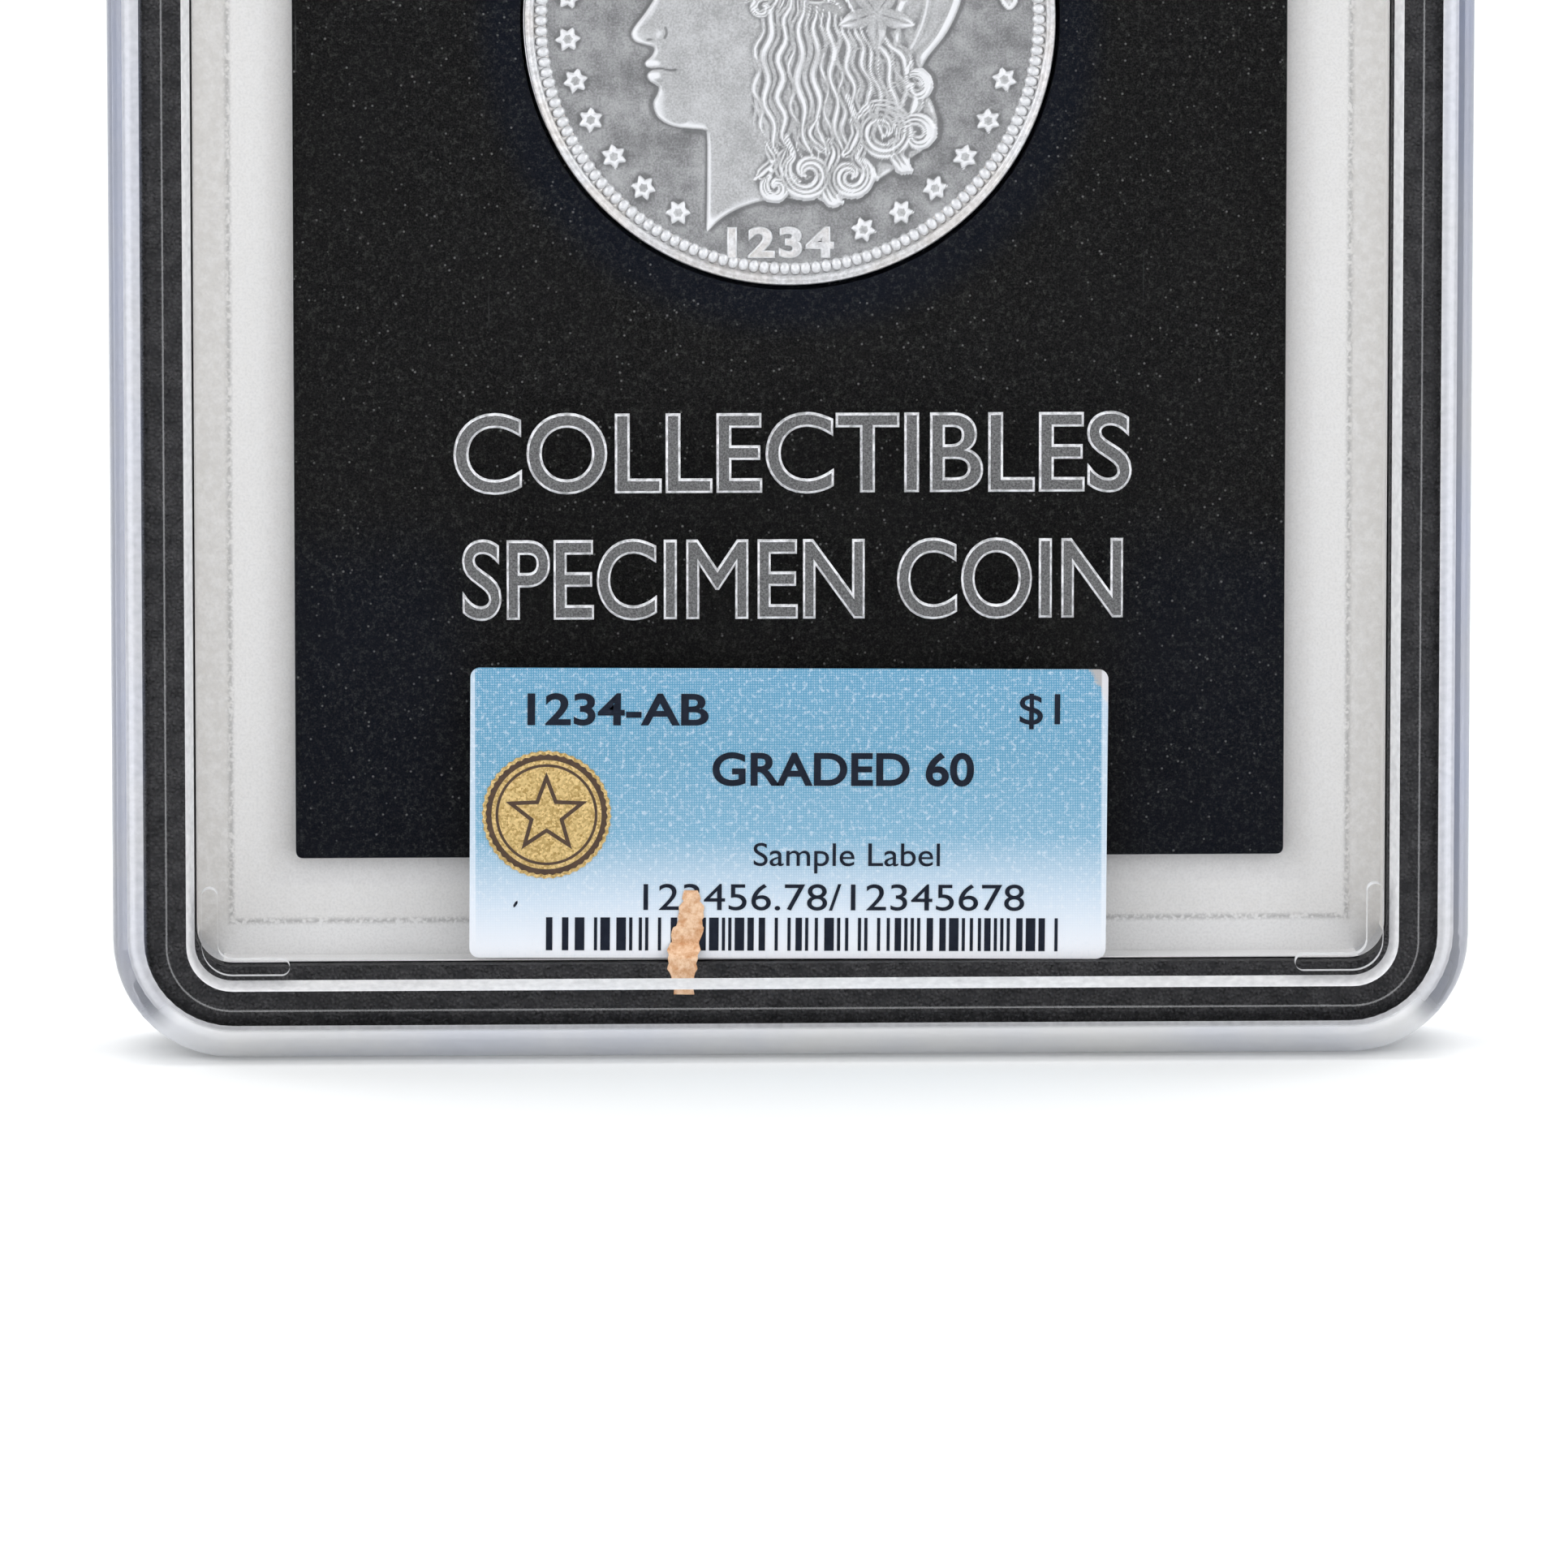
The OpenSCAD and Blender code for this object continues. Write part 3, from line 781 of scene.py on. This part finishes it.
def lock(ground, u, v, points, width, level, strands=3, wave=0.0, phase=0.0, pitch=2.6):
    """A lock of hair over the ground: a long mound with strands combed along it."""
    line = through(points)
    step = np.linalg.norm(np.diff(line, axis=0), axis=1)
    length = np.concatenate([[0], np.cumsum(step)])
    if wave:
        way = np.gradient(line, axis=0)
        way /= np.linalg.norm(way, axis=1)[:, None] + 1e-9
        sway = wave * np.sin(length / pitch * 2 * math.pi + phase) * smooth(length / 1.5)
        line = line + np.stack([-way[:, 1], way[:, 0]], 1) * sway[:, None]
    low, high = line.min(0) - width, line.max(0) + width
    near = (u > low[0]) & (u < high[0]) & (v > low[1]) & (v < high[1])
    far, side, along = beside(u[near], v[near], line)
    half = width * (0.35 + 0.65 * smooth(along * 5)) * (0.12 + 0.88 * smooth((1 - along) * 3.5))
    across = far * side / half
    body = np.sqrt(np.clip(1 - across**2, 0, 1))
    comb = np.cos(np.abs(across) * strands * math.pi + 0.5 * np.sin(along * 9 + phase))
    raised = level + 0.08 * body + 0.045 * comb * body
    ground[near] = np.where(np.abs(across) < 1, np.maximum(ground[near], raised), ground[near])


def leaf(ground, u, v, at, turned, length, width, level):
    """A pointed leaf with a groove down its middle."""
    c, s = math.cos(math.radians(turned)), math.sin(math.radians(turned))
    a, b = (u - at[0]) * c + (v - at[1]) * s, (v - at[1]) * c - (u - at[0]) * s
    t = np.clip(a / length, 0, 1)
    half = width * np.sin(math.pi * t**0.8) ** 0.9 + 1e-6
    over = (a > 0) & (a < length) & (np.abs(b) < half)
    shape = level + 0.09 * np.sqrt(np.clip(1 - (b / half) ** 2, 0, 1)) - 0.045 * np.exp(-((b / 0.09) ** 2))
    ground[...] = np.where(over, np.maximum(ground, shape), ground)


def star_relief(u, v, at, radius, points=6, turned=0.0):
    """A small star with crisp edges and a slightly sunken middle."""
    ring = [
        (
            at[0] + radius * (1 if i % 2 == 0 else 0.55) * math.cos(math.pi * i / points + turned),
            at[1] + radius * (1 if i % 2 == 0 else 0.55) * math.sin(math.pi * i / points + turned),
        )
        for i in range(points * 2)
    ]
    near = np.hypot(u - at[0], v - at[1]) < radius * 1.2
    high = np.zeros(u.shape)
    deep = within(u[near], v[near], np.array(ring))
    high[near] = 0.17 * smooth((deep + 0.04) / 0.16) - 0.07 * smooth((deep - 0.14) / 0.16)
    return high


def polar(radius, angle):
    return radius * math.cos(math.radians(angle)), radius * math.sin(math.radians(angle))


def obverse(u, v):
    """The front's relief, u to the right and v up, all in millimetres."""
    face = through(
        [(-5.4, 11.3), (-7.2, 10.2), (-8.6, 8.2), (-9.2, 6.3), (-9.3, 4.9), (-9.0, 3.9), (-8.95, 3.0),
         (-9.5, 1.9), (-10.3, 0.6), (-11.1, -0.45), (-11.35, -1.0), (-11.05, -1.5), (-10.3, -1.75),
         (-9.75, -1.95), (-9.85, -2.5), (-10.35, -3.0), (-10.3, -3.3), (-9.8, -3.5), (-10.2, -3.85),
         (-10.1, -4.3), (-9.45, -4.75), (-9.5, -5.3), (-9.8, -6.0), (-9.5, -6.9), (-8.6, -7.5), (-7.4, -7.75),
         (-6.3, -7.85)], 6)
    neck = np.array([(-5.95, -7.95), (-5.9, -9.0), (-5.92, -12.0), (-5.97, -15.1)])
    bust = through([(-5.97, -15.2), (-4.9, -14.2), (-3.4, -13.4), (-1.5, -12.9), (2.0, -12.5)], 5)
    back = through(
        [(3.0, -12.4), (5.5, -11.9), (8.0, -10.4), (9.9, -9.0), (10.6, -7.4), (9.9, -5.6), (9.3, -4.2),
         (9.9, -2.6), (11.3, -0.8), (12.3, 1.6), (12.5, 4.6), (11.5, 7.8), (9.0, 10.6), (5.6, 12.2),
         (2.0, 12.9), (-1.6, 12.8), (-3.9, 12.2)], 5)
    head = within(u, v, np.vstack([face, neck, bust, back]))
    skin = 0.10 * smooth((head + 0.1) / 0.26) + 0.085 * np.sqrt(1 - (1 - np.clip(head / 6, 0, 1)) ** 2)
    soft = smooth(head / 0.5)
    # The jaw stands above the neck, and a long muscle runs down the neck.
    jaw = through([(-9.6, -7.7), (-6.1, -7.75), (-4.2, -6.9), (-2.6, -5.0), (-1.4, -2.2), (-1.0, 0.5)])
    far, side, _ = beside(u, v, jaw)
    skin -= soft * 0.05 * smooth(far / 0.9) * (side < 0) * smooth((2.5 - far) / 2.5)
    skin += soft * ridge(u, v, [(0.2, -3.5), (-1.2, -7.5), (-3.3, -11.0), (-5.0, -13.6)], 0.9, 0.03)
    skin += soft * ridge(u, v, [(-1.2, -12.2), (-3.0, -12.4), (-4.6, -13.2)], 0.5, 0.02)
    for at, size, turned, height in (
        ((-5.9, -1.0), (2.3, 1.8), 60, 0.05),  # cheek
        ((-7.2, 7.0), (2.2, 2.4), 0, 0.03),  # forehead
        ((-8.0, 3.7), (0.8, 0.45), -10, -0.055),  # hollow over the eye
        ((-7.5, 2.55), (0.62, 0.42), -8, 0.05),  # eyeball
        ((-6.6, 1.7), (1.5, 0.5), -20, -0.02),  # hollow under the eye
        ((-9.85, 0.5), (0.45, 1.1), -28, 0.03),  # side of the nose
        ((-9.45, -0.95), (0.42, 0.5), 0, 0.055),  # nostril wing
        ((-10.15, -1.42), (0.34, 0.14), 8, -0.07),  # nostril
        ((-9.1, -1.9), (0.5, 0.5), 0, -0.03),
        ((-9.75, -3.1), (0.62, 0.27), 8, 0.05),  # upper lip
        ((-9.65, -3.95), (0.55, 0.3), -12, 0.055),  # lower lip
        ((-8.0, -3.6), (0.3, 0.42), 0, -0.035),  # corner of the mouth
        ((-9.1, -4.85), (0.7, 0.26), -5, -0.035),  # hollow over the chin
        ((-8.9, -6.15), (0.8, 0.8), 0, 0.045),  # chin
        ((-5.2, -5.4), (1.8, 0.7), 35, 0.025),  # jaw
    ):
        skin += soft * mound(u, v, at, size, turned, height)
    for points, width, height in (
        ([(-10.1, -3.52), (-9.3, -3.45), (-8.6, -3.58), (-8.05, -3.5)], 0.09, -0.08),  # between the lips
        ([(-9.0, -0.35), (-8.85, -0.9), (-9.05, -1.4)], 0.11, -0.045),  # round the nostril wing
        ([(-8.9, 4.5), (-7.9, 5.05), (-6.6, 4.95), (-5.4, 4.2)], 0.26, 0.045),  # brow
        ([(-8.3, 2.75), (-7.7, 3.2), (-6.9, 3.0), (-6.3, 2.45)], 0.12, 0.06),  # upper lid
        ([(-8.2, 2.3), (-7.5, 2.02), (-6.7, 2.2)], 0.1, 0.045),  # lower lid
        ([(-8.25, 3.1), (-7.6, 3.6), (-6.7, 3.4), (-6.0, 2.7)], 0.09, -0.03),
        ([(-8.05, 2.75), (-7.95, 2.5), (-8.05, 2.3)], 0.1, -0.04),  # iris
    ):
        skin += smooth(head / 0.25) * ridge(u, v, points, width, height)
    top = skin.copy()

    # A soft cap over the crown and the back of the head, with folds.
    cap = within(u, v, through(
        [(-1.5, 12.6), (2.0, 12.9), (5.6, 12.2), (9.0, 10.6), (11.5, 7.8), (12.5, 4.6), (12.3, 1.6),
         (11.2, -0.9), (9.6, -2.9), (8.2, -3.4), (6.0, -2.4), (3.6, -0.6), (3.0, 2.4), (1.6, 6.4),
         (-0.6, 9.6)], 5, True))
    folds = 0.02 * np.sin(np.arctan2(v + 2.6, u - 8.6) * 9) * smooth(cap / 1.2)
    top = np.where(cap > 0, np.maximum(top, 0.12 * smooth(cap / 0.3) + 0.13 * smooth(cap / 4.5) + folds), top)
    for points in (
        [(8.9, -3.2), (10.6, -1.3), (12.0, 1.8), (12.3, 4.6)],
        [(3.4, -0.9), (5.6, -2.6), (8.4, -3.2)],
        [(8.3, -2.9), (9.6, 0.2), (10.2, 4.0)],
        [(7.4, -2.8), (7.9, 0.6), (7.6, 4.0)],
        [(5.8, -2.2), (6.9, -0.2), (8.8, 1.9)],
    ):
        top += ridge(u, v, points, 0.22, 0.06) * (cap > -0.3)
    # Hair combed back from the brow and the temple.
    comb = random.Random(3)
    for i in range(12):
        t = i / 11
        at = (-3.2 - 4.6 * math.sin(t * 2.2), 1.4 + 10.6 * t)
        lock(top, u, v,
             [at, (at[0] + 2.0, at[1] + 0.9 - 0.6 * t), (at[0] + 4.4, at[1] + 0.6 - 1.5 * t),
              (at[0] + 7.0, at[1] - 0.6 - 2.6 * t)],
             0.72, 0.14 + 0.02 * (i % 3), 3, 0.22, comb.uniform(0, 6), 3.2)
    # The mass of hair over the neck, and wavy locks falling over it.
    mass = within(u, v, through(
        [(-1.9, 1.6), (-2.3, -2.0), (-2.6, -5.5), (-2.2, -8.6), (-1.6, -10.6), (-0.4, -12.6), (2.0, -13.2),
         (4.6, -12.9), (6.2, -11.2), (8.4, -9.9), (10.2, -8.6), (10.4, -6.6), (9.4, -4.6), (8.2, -2.6),
         (5.0, -0.5), (1.5, 2.6)], 5, True))
    sway = 0.3 * np.sin(v / 3.0 * 2 * math.pi + 1.5 * np.sin(u * 1.1) + u * 0.5)
    combed = 0.05 * np.sin((u - 0.25 * v + sway + 0.16 * np.sin(u * 2.3 + v * 0.6)) * 9.5)
    hair = 0.12 * smooth((mass + 0.15) / 0.35) + combed * smooth(mass)
    top = np.where(mass > -0.15, np.maximum(top, hair), top)
    for i in range(19):
        t = ((i * 7) % 19) / 18
        start = (-1.2 + 8.0 * t, 2.4 - 3.7 * t)
        end = (-1.6 + 10.2 * t + comb.uniform(-0.25, 0.25), -9.4 + 2.2 * t - 1.4 * math.sin(math.pi * t))
        bow = -1.1 * (1 - t) + 0.9 * t
        points = [start]
        for k in (0.3, 0.6, 0.85, 1.0):
            points.append((start[0] + (end[0] - start[0]) * k + bow * math.sin(math.pi * k),
                           start[1] + (end[1] - start[1]) * k))
        lock(top, u, v, points, comb.uniform(0.5, 0.75), 0.13 + 0.018 * (i % 3), 2, 0.22,
             t * 5.0 + comb.uniform(-1.6, 1.6), comb.uniform(2.6, 3.8))
    # Curls at the ends of the locks, each fed by a lock that sweeps into it.
    for at, radius, begin, turns, width, tail in (
        ((6.6, -8.0), 2.1, 150, -1.6, 0.62, (2.2, 3.4)), ((1.3, -11.0), 1.75, 130, 1.3, 0.56, (1.6, 3.2)),
        ((4.3, -11.2), 1.45, 70, -1.3, 0.52, (-1.2, 2.8)), ((-1.0, -12.0), 0.95, 120, 1.2, 0.38, (-0.6, 2.6)),
        ((9.1, -8.2), 1.35, 200, -1.2, 0.5, (1.1, 3.0)), ((9.0, -4.8), 1.0, 130, -1.1, 0.42, (-0.9, 2.2)),
        ((-2.0, 0.9), 0.75, 60, 1.2, 0.3, (0.8, 1.6)),
    ):
        turn_at = [
            (at[0] + radius * (1 - 0.84 * k / 20) * math.cos(math.radians(begin + turns * 360 * k / 20)),
             at[1] + radius * (1 - 0.84 * k / 20) * math.sin(math.radians(begin + turns * 360 * k / 20)))
            for k in range(21)
        ]
        first = turn_at[0]
        sweep = [(first[0] - tail[0] * 0.3, first[1] + tail[1] * 0.42)]
        lock(top, u, v, sweep + turn_at, width, 0.19, 3)
    for i, (a, b, c) in enumerate((
        (-0.2, -10.6, 1), (2.7, -10.0, -1), (5.4, -10.2, 1), (7.9, -9.7, 1), (2.9, -12.0, 1),
        (-1.7, -10.3, -1), (7.4, -6.0, 1), (4.4, -8.6, -1), (2.0, -8.4, 1),
    )):
        hook = [(a, b + 1.5), (a - 0.5 * c, b + 0.3), (a + 0.1 * c, b - 0.7), (a + 0.9 * c, b - 1.1)]
        lock(top, u, v, hook, 0.55, 0.165, 3, 0.1, i)
    # A plain band round the head, with leaves and a flower tucked into it.
    far = beside(u, v, through([(-6.9, 8.9), (-3.9, 8.6), (-0.2, 6.9), (3.0, 4.0), (5.2, 0.6)]))[0]
    band = smooth((0.62 - far) / 0.12)
    top = np.where(far < 0.62, np.maximum(top * (1 - band), 0.235 + 0.05 * smooth((far - 0.4) / 0.12)), top)
    for at, turned, length, width in (
        ((4.9, 3.0), 62, 3.6, 0.8), ((3.6, 4.2), 95, 3.8, 0.8), ((1.9, 5.7), 78, 3.6, 0.75),
        ((0.4, 6.9), 110, 3.4, 0.75), ((-1.6, 8.2), 92, 3.2, 0.7), ((-3.4, 8.9), 118, 2.8, 0.6),
        ((5.6, 2.6), 32, 3.4, 0.75),
    ):
        leaf(top, u, v, at, turned, length, width, 0.2)
    for i in range(5):
        leaf(top, u, v, (6.2, 0.5), 90 + 72 * i + 180, 2.9, 0.72, 0.215)
    top += mound(u, v, (6.2, 0.5), (0.42, 0.42), 0, 0.05)
    high = np.where(head > -0.1, top, np.maximum(top * (top > 0.13), skin))
    # Stars on both sides and sprays of leaves over the head.
    for angle in (173.9, 184.8, 195.7, 206.5, 217.7, 228.8, 239.8, 289.3, 300.0, 310.7, 321.9, 332.9, 344.3):
        high = np.maximum(high, star_relief(u, v, polar(15.97, angle), 0.95, 6, math.radians(angle)))
    for i in range(13):
        angle = 2.5 + 13.0 * i
        for lean in (-28, 28):
            leaf(high, u, v, polar(15.75 + 0.006 * lean, angle), angle + 90 + lean, 1.75, 0.42, 0.03)
    return np.minimum(high, 0.335)


def reverse(u, v):
    """The back's relief: a wreath of leaves, a star, a large figure and a ring of dots."""
    high = np.zeros(u.shape)
    wreath_r = 11.2
    for i in range(26):
        angle = -76 + 12.0 * i + (4 if i > 12 else 0)
        way = 1 if angle < 90 else -1
        if abs(angle - 90) < 12:
            continue
        for lean in (-34, 34):
            at = polar(wreath_r + 0.012 * lean * way, angle)
            leaf(high, u, v, at, angle + (90 + lean) * way, 3.1, 0.72, 0.08)
    stem = np.abs(np.hypot(u, v) - wreath_r)
    high = np.maximum(high, 0.16 * smooth((0.24 - stem) / 0.14) * (v < 10.2))
    high = np.maximum(high, star_relief(u, v, (0, 11.4), 1.7, 5, math.pi / 2))
    figure = [(-0.9, -5.6), (-0.9, 3.9), (-2.6, 2.9), (-2.6, 4.6), (-0.2, 6.2), (1.1, 6.2), (1.1, -5.6)]
    foot = [(-2.8, -6.4), (-2.8, -5.2), (3.0, -5.2), (3.0, -6.4)]
    for ring in (figure, foot):
        deep = within(u, v, np.array(ring))
        high = np.maximum(high, 0.2 * smooth((deep + 0.05) / 0.25) - 0.06 * smooth((deep - 0.25) / 0.15))
    for i in range(36):
        angle = 10.0 * i + 5
        high = np.maximum(high, mound(u, v, polar(15.9, angle), (0.32, 0.32), 0, 0.13))
    return high


def struck_face(name, count, relief, front):
    """A disc whose grid of points is raised by a relief, with how far each stands out, its crests and hollows
    and its steepness noted for its paint and its painted highlights and shade.
    """
    shape = bmesh.new()
    bmesh.ops.create_grid(shape, x_segments=count, y_segments=count, size=1)
    verts = sorted(shape.verts, key=lambda w: (round(w.co.y * count), w.co.x))
    shape.verts.index_update()
    order = np.array([w.index for w in verts])
    flat = np.array([w.co.xy for w in verts]).reshape(count + 1, count + 1, 2)
    a, b = flat[..., 0], flat[..., 1]
    wide = np.abs(a) > np.abs(b)
    radius = np.where(wide, a, b)
    angle = np.where(
        wide, math.pi / 4 * b / np.where(a == 0, 1, a), math.pi / 2 - math.pi / 4 * a / np.where(b == 0, 1, b)
    )
    u, v = FIELD_R * radius * np.cos(angle), FIELD_R * radius * np.sin(angle)
    high = relief(u, v) * smooth((FIELD_R - np.hypot(u, v)) / 0.2)
    spread = high.copy()
    for _ in range(3):
        padded = np.pad(spread, 2, mode="edge")
        spread = sum(padded[i : i + count + 1, 2 : count + 3] for i in range(5)) / 5
        padded = np.pad(spread, 2, mode="edge")
        spread = sum(padded[2 : count + 3, i : i + count + 1] for i in range(5)) / 5
    du, dv = np.gradient(u, axis=(0, 1)), np.gradient(v, axis=(0, 1))
    dh = np.gradient(high, axis=(0, 1))
    area = du[1] * dv[0] - du[0] * dv[1]
    area = np.where(np.abs(area) < 1e-6, 1e-6, area)
    steep = np.hypot((dh[1] * dv[0] - dh[0] * dv[1]) / area, (dh[0] * du[1] - dh[1] * du[0]) / area)
    way = 1 if front else -1
    for vert, x, z, h in zip(verts, u.ravel(), v.ravel(), high.ravel()):
        vert.co = (way * x * MM, -way * (PROUD + h) * MM, z * MM)
    shape.normal_update()
    if (sum(f.normal.y for f in shape.faces) < 0) != front:
        bmesh.ops.reverse_faces(shape, faces=shape.faces)
    for face in shape.faces:
        face.smooth = True
    bmesh.ops.translate(shape, verts=shape.verts, vec=coin_middle)
    made = piece(name, shape, silver, body="coin")
    for label, values in (("raised", high), ("crest", high - spread), ("steep", steep)):
        kept = np.zeros(len(order), dtype=np.float32)
        kept[order] = values.ravel()
        made.data.attributes.new(label, "FLOAT", "POINT").data.foreach_set("value", kept)
    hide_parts("coin")
    return made


# Frosted where the relief stands up, mottled and a little darker in the field,
# with painted highlights along crests and slopes and painted shade in the
# hollows, and golden toning towards the rim.
paint = Paint("struck_silver")
raised, crest, steep = (
    paint.add("Attribute", {"attribute_name": label}, {}, "Fac") for label in ("raised", "crest", "steep")
)
mottle = paint.noise(420.0, 6.0, roughness=0.68)
fine = paint.noise(6500.0, 3.0, roughness=0.75)
field = paint.blend((0.55 * mottle + 0.45 * fine).rise(0.36, 0.66), (0.20, 0.20, 0.20), (0.52, 0.52, 0.515))
frosty = paint.blend((0.4 * mottle + 0.6 * fine).rise(0.34, 0.64), (0.40, 0.40, 0.395), (0.68, 0.68, 0.675))
metal = paint.blend(raised.rise(0.02, 0.09), field, frosty)
# Painted shade in the hollows of the relief.
metal = paint.blend((crest * -1.0).rise(0.003, 0.03) * 0.7, metal, (0.15, 0.15, 0.15))
# Painted highlights on the steep slopes and along the crests.
metal = paint.blend(steep.rise(0.3, 0.8), metal, (0.9, 0.9, 0.9))
metal = paint.blend(crest.rise(0.008, 0.035), metal, (0.97, 0.97, 0.97))
struck = paint.bump(fine + mottle, 0.00005, 0.4)
silver = paint.finish(
    paint.solid(Base_Color=metal, Metallic=0.55, Roughness=0.42 + 0.1 * fine, Normal=struck)
)
struck_face("coin_front", 296, obverse, True)
struck_face("coin_back", 150, reverse, False)

paint = Paint("rim_silver")
centre_u, centre_v = paint.x - coin_middle.x, paint.z - coin_middle.z
fine = paint.noise(2600.0, 4.0, roughness=0.7)
low_sides = ((centre_u.size() * 55.0) - (centre_v * 55.0 + 0.2)).rise(0.1, 0.9)
gilt = low_sides * paint.noise(260.0, 3.0).rise(0.4, 0.62)
metal = paint.blend(fine.rise(0.3, 0.7), (0.62, 0.62, 0.615), (0.95, 0.95, 0.95))
metal = paint.blend(gilt * 0.16, metal, (0.80, 0.62, 0.42))
turned = paint.bump(fine, 0.00003, 0.4)
rim_silver = paint.finish(
    paint.solid(Base_Color=metal, Metallic=0.75, Roughness=0.35 + 0.15 * fine, Normal=turned)
)
# A lighter copy of the silver, as a painted highlight on the beads and on the slopes of the date.
paint = Paint("silver_painted_highlight")
fine = paint.noise(4000.0, 4.0, roughness=0.7)
silver_painted_highlight = paint.finish(
    paint.solid(
        Base_Color=paint.blend(fine.rise(0.3, 0.7), (0.74, 0.74, 0.74), (0.97, 0.97, 0.97)),
        Metallic=0.4,
        Roughness=0.3 + 0.2 * fine,
        Normal=paint.bump(fine, 0.00003, 0.4),
    )
)
rim = bmesh.new()
section = [(FIELD_R - 0.25, PROUD - 0.05), (FIELD_R - 0.05, PROUD), (18.34, PROUD - 0.04), (18.4, 1.08),
           (18.47, 1.14), (18.56, 1.15), (18.64, 1.09), (18.72, 1.13), (18.82, 1.19), (18.92, 1.2),
           (19.0, 1.15), (19.04, 1.06), (19.05, 0.9)]
section += [(r, -y) for r, y in reversed(section)]
chain = [rim.verts.new((r * MM, -y * MM, 0)) for r, y in section]
chain += [rim.edges.new(pair) for pair in zip(chain, chain[1:])]
REEDS = 378  # every other one of these steps round the edge is pulled in to make the reeding
bmesh.ops.spin(rim, geom=chain, steps=REEDS, use_duplicate=False, **whole_turn)
for vert in rim.verts:
    if abs(vert.co.y) < 0.95 * MM and vert.co.xz.length > 19.0 * MM:
        if round(math.degrees(math.atan2(vert.co.z, vert.co.x)) * REEDS / 360) % 2:
            vert.co.x, vert.co.z = vert.co.x * 0.9965, vert.co.z * 0.9965
bmesh.ops.recalc_face_normals(rim, faces=rim.faces)
for face in rim.faces:
    face.smooth = True
BEADS = 150
for way in (1, -1):
    bead = bmesh.ops.create_uvsphere(rim, u_segments=8, v_segments=6, radius=1)["verts"]
    bmesh.ops.scale(rim, verts=bead, vec=(0.5 * MM, 0.3 * MM, 0.375 * MM))
    bmesh.ops.translate(rim, verts=bead, vec=(17.84 * MM, -way * (PROUD - 0.01) * MM, 0))
    faces = list(dict.fromkeys(f for w in bead for f in w.link_faces))
    # The beads take the lighter silver, a painted highlight.
    for face in faces:
        face.smooth, face.material_index = True, 1
    rest = {"angle": 2 * math.pi * (BEADS - 1) / BEADS, "steps": BEADS - 1, "use_duplicate": True}
    bmesh.ops.spin(rim, geom=faces, cent=(0, 0, 0), axis=(0, 1, 0), **rest)
bmesh.ops.translate(rim, verts=rim.verts, vec=coin_middle)
edge = piece("coin_rim", rim, rim_silver, silver_painted_highlight, body="coin")
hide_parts("coin")

place = coin_middle + Vector((-0.68, -(PROUD + 0.06), -15.9)) * MM
size = {"width": 7.7 * MM, "thick": 0.1 * MM, "bold": 0.05 * MM, "bevel": 0.09 * MM, "spacing": 1.14}
date = lettering("1234", 2.1 * MM, place, **size)
bmesh.ops.recalc_face_normals(date, faces=date.faces)
date.normal_update()
# The date's tops are plain silver, and its slopes take the painted highlight.
for face in date.faces:
    face.material_index = 0 if abs(face.normal.y) > 0.9 else 1
digits = piece("coin_date", date, rim_silver, silver_painted_highlight, body="coin")
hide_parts("coin")
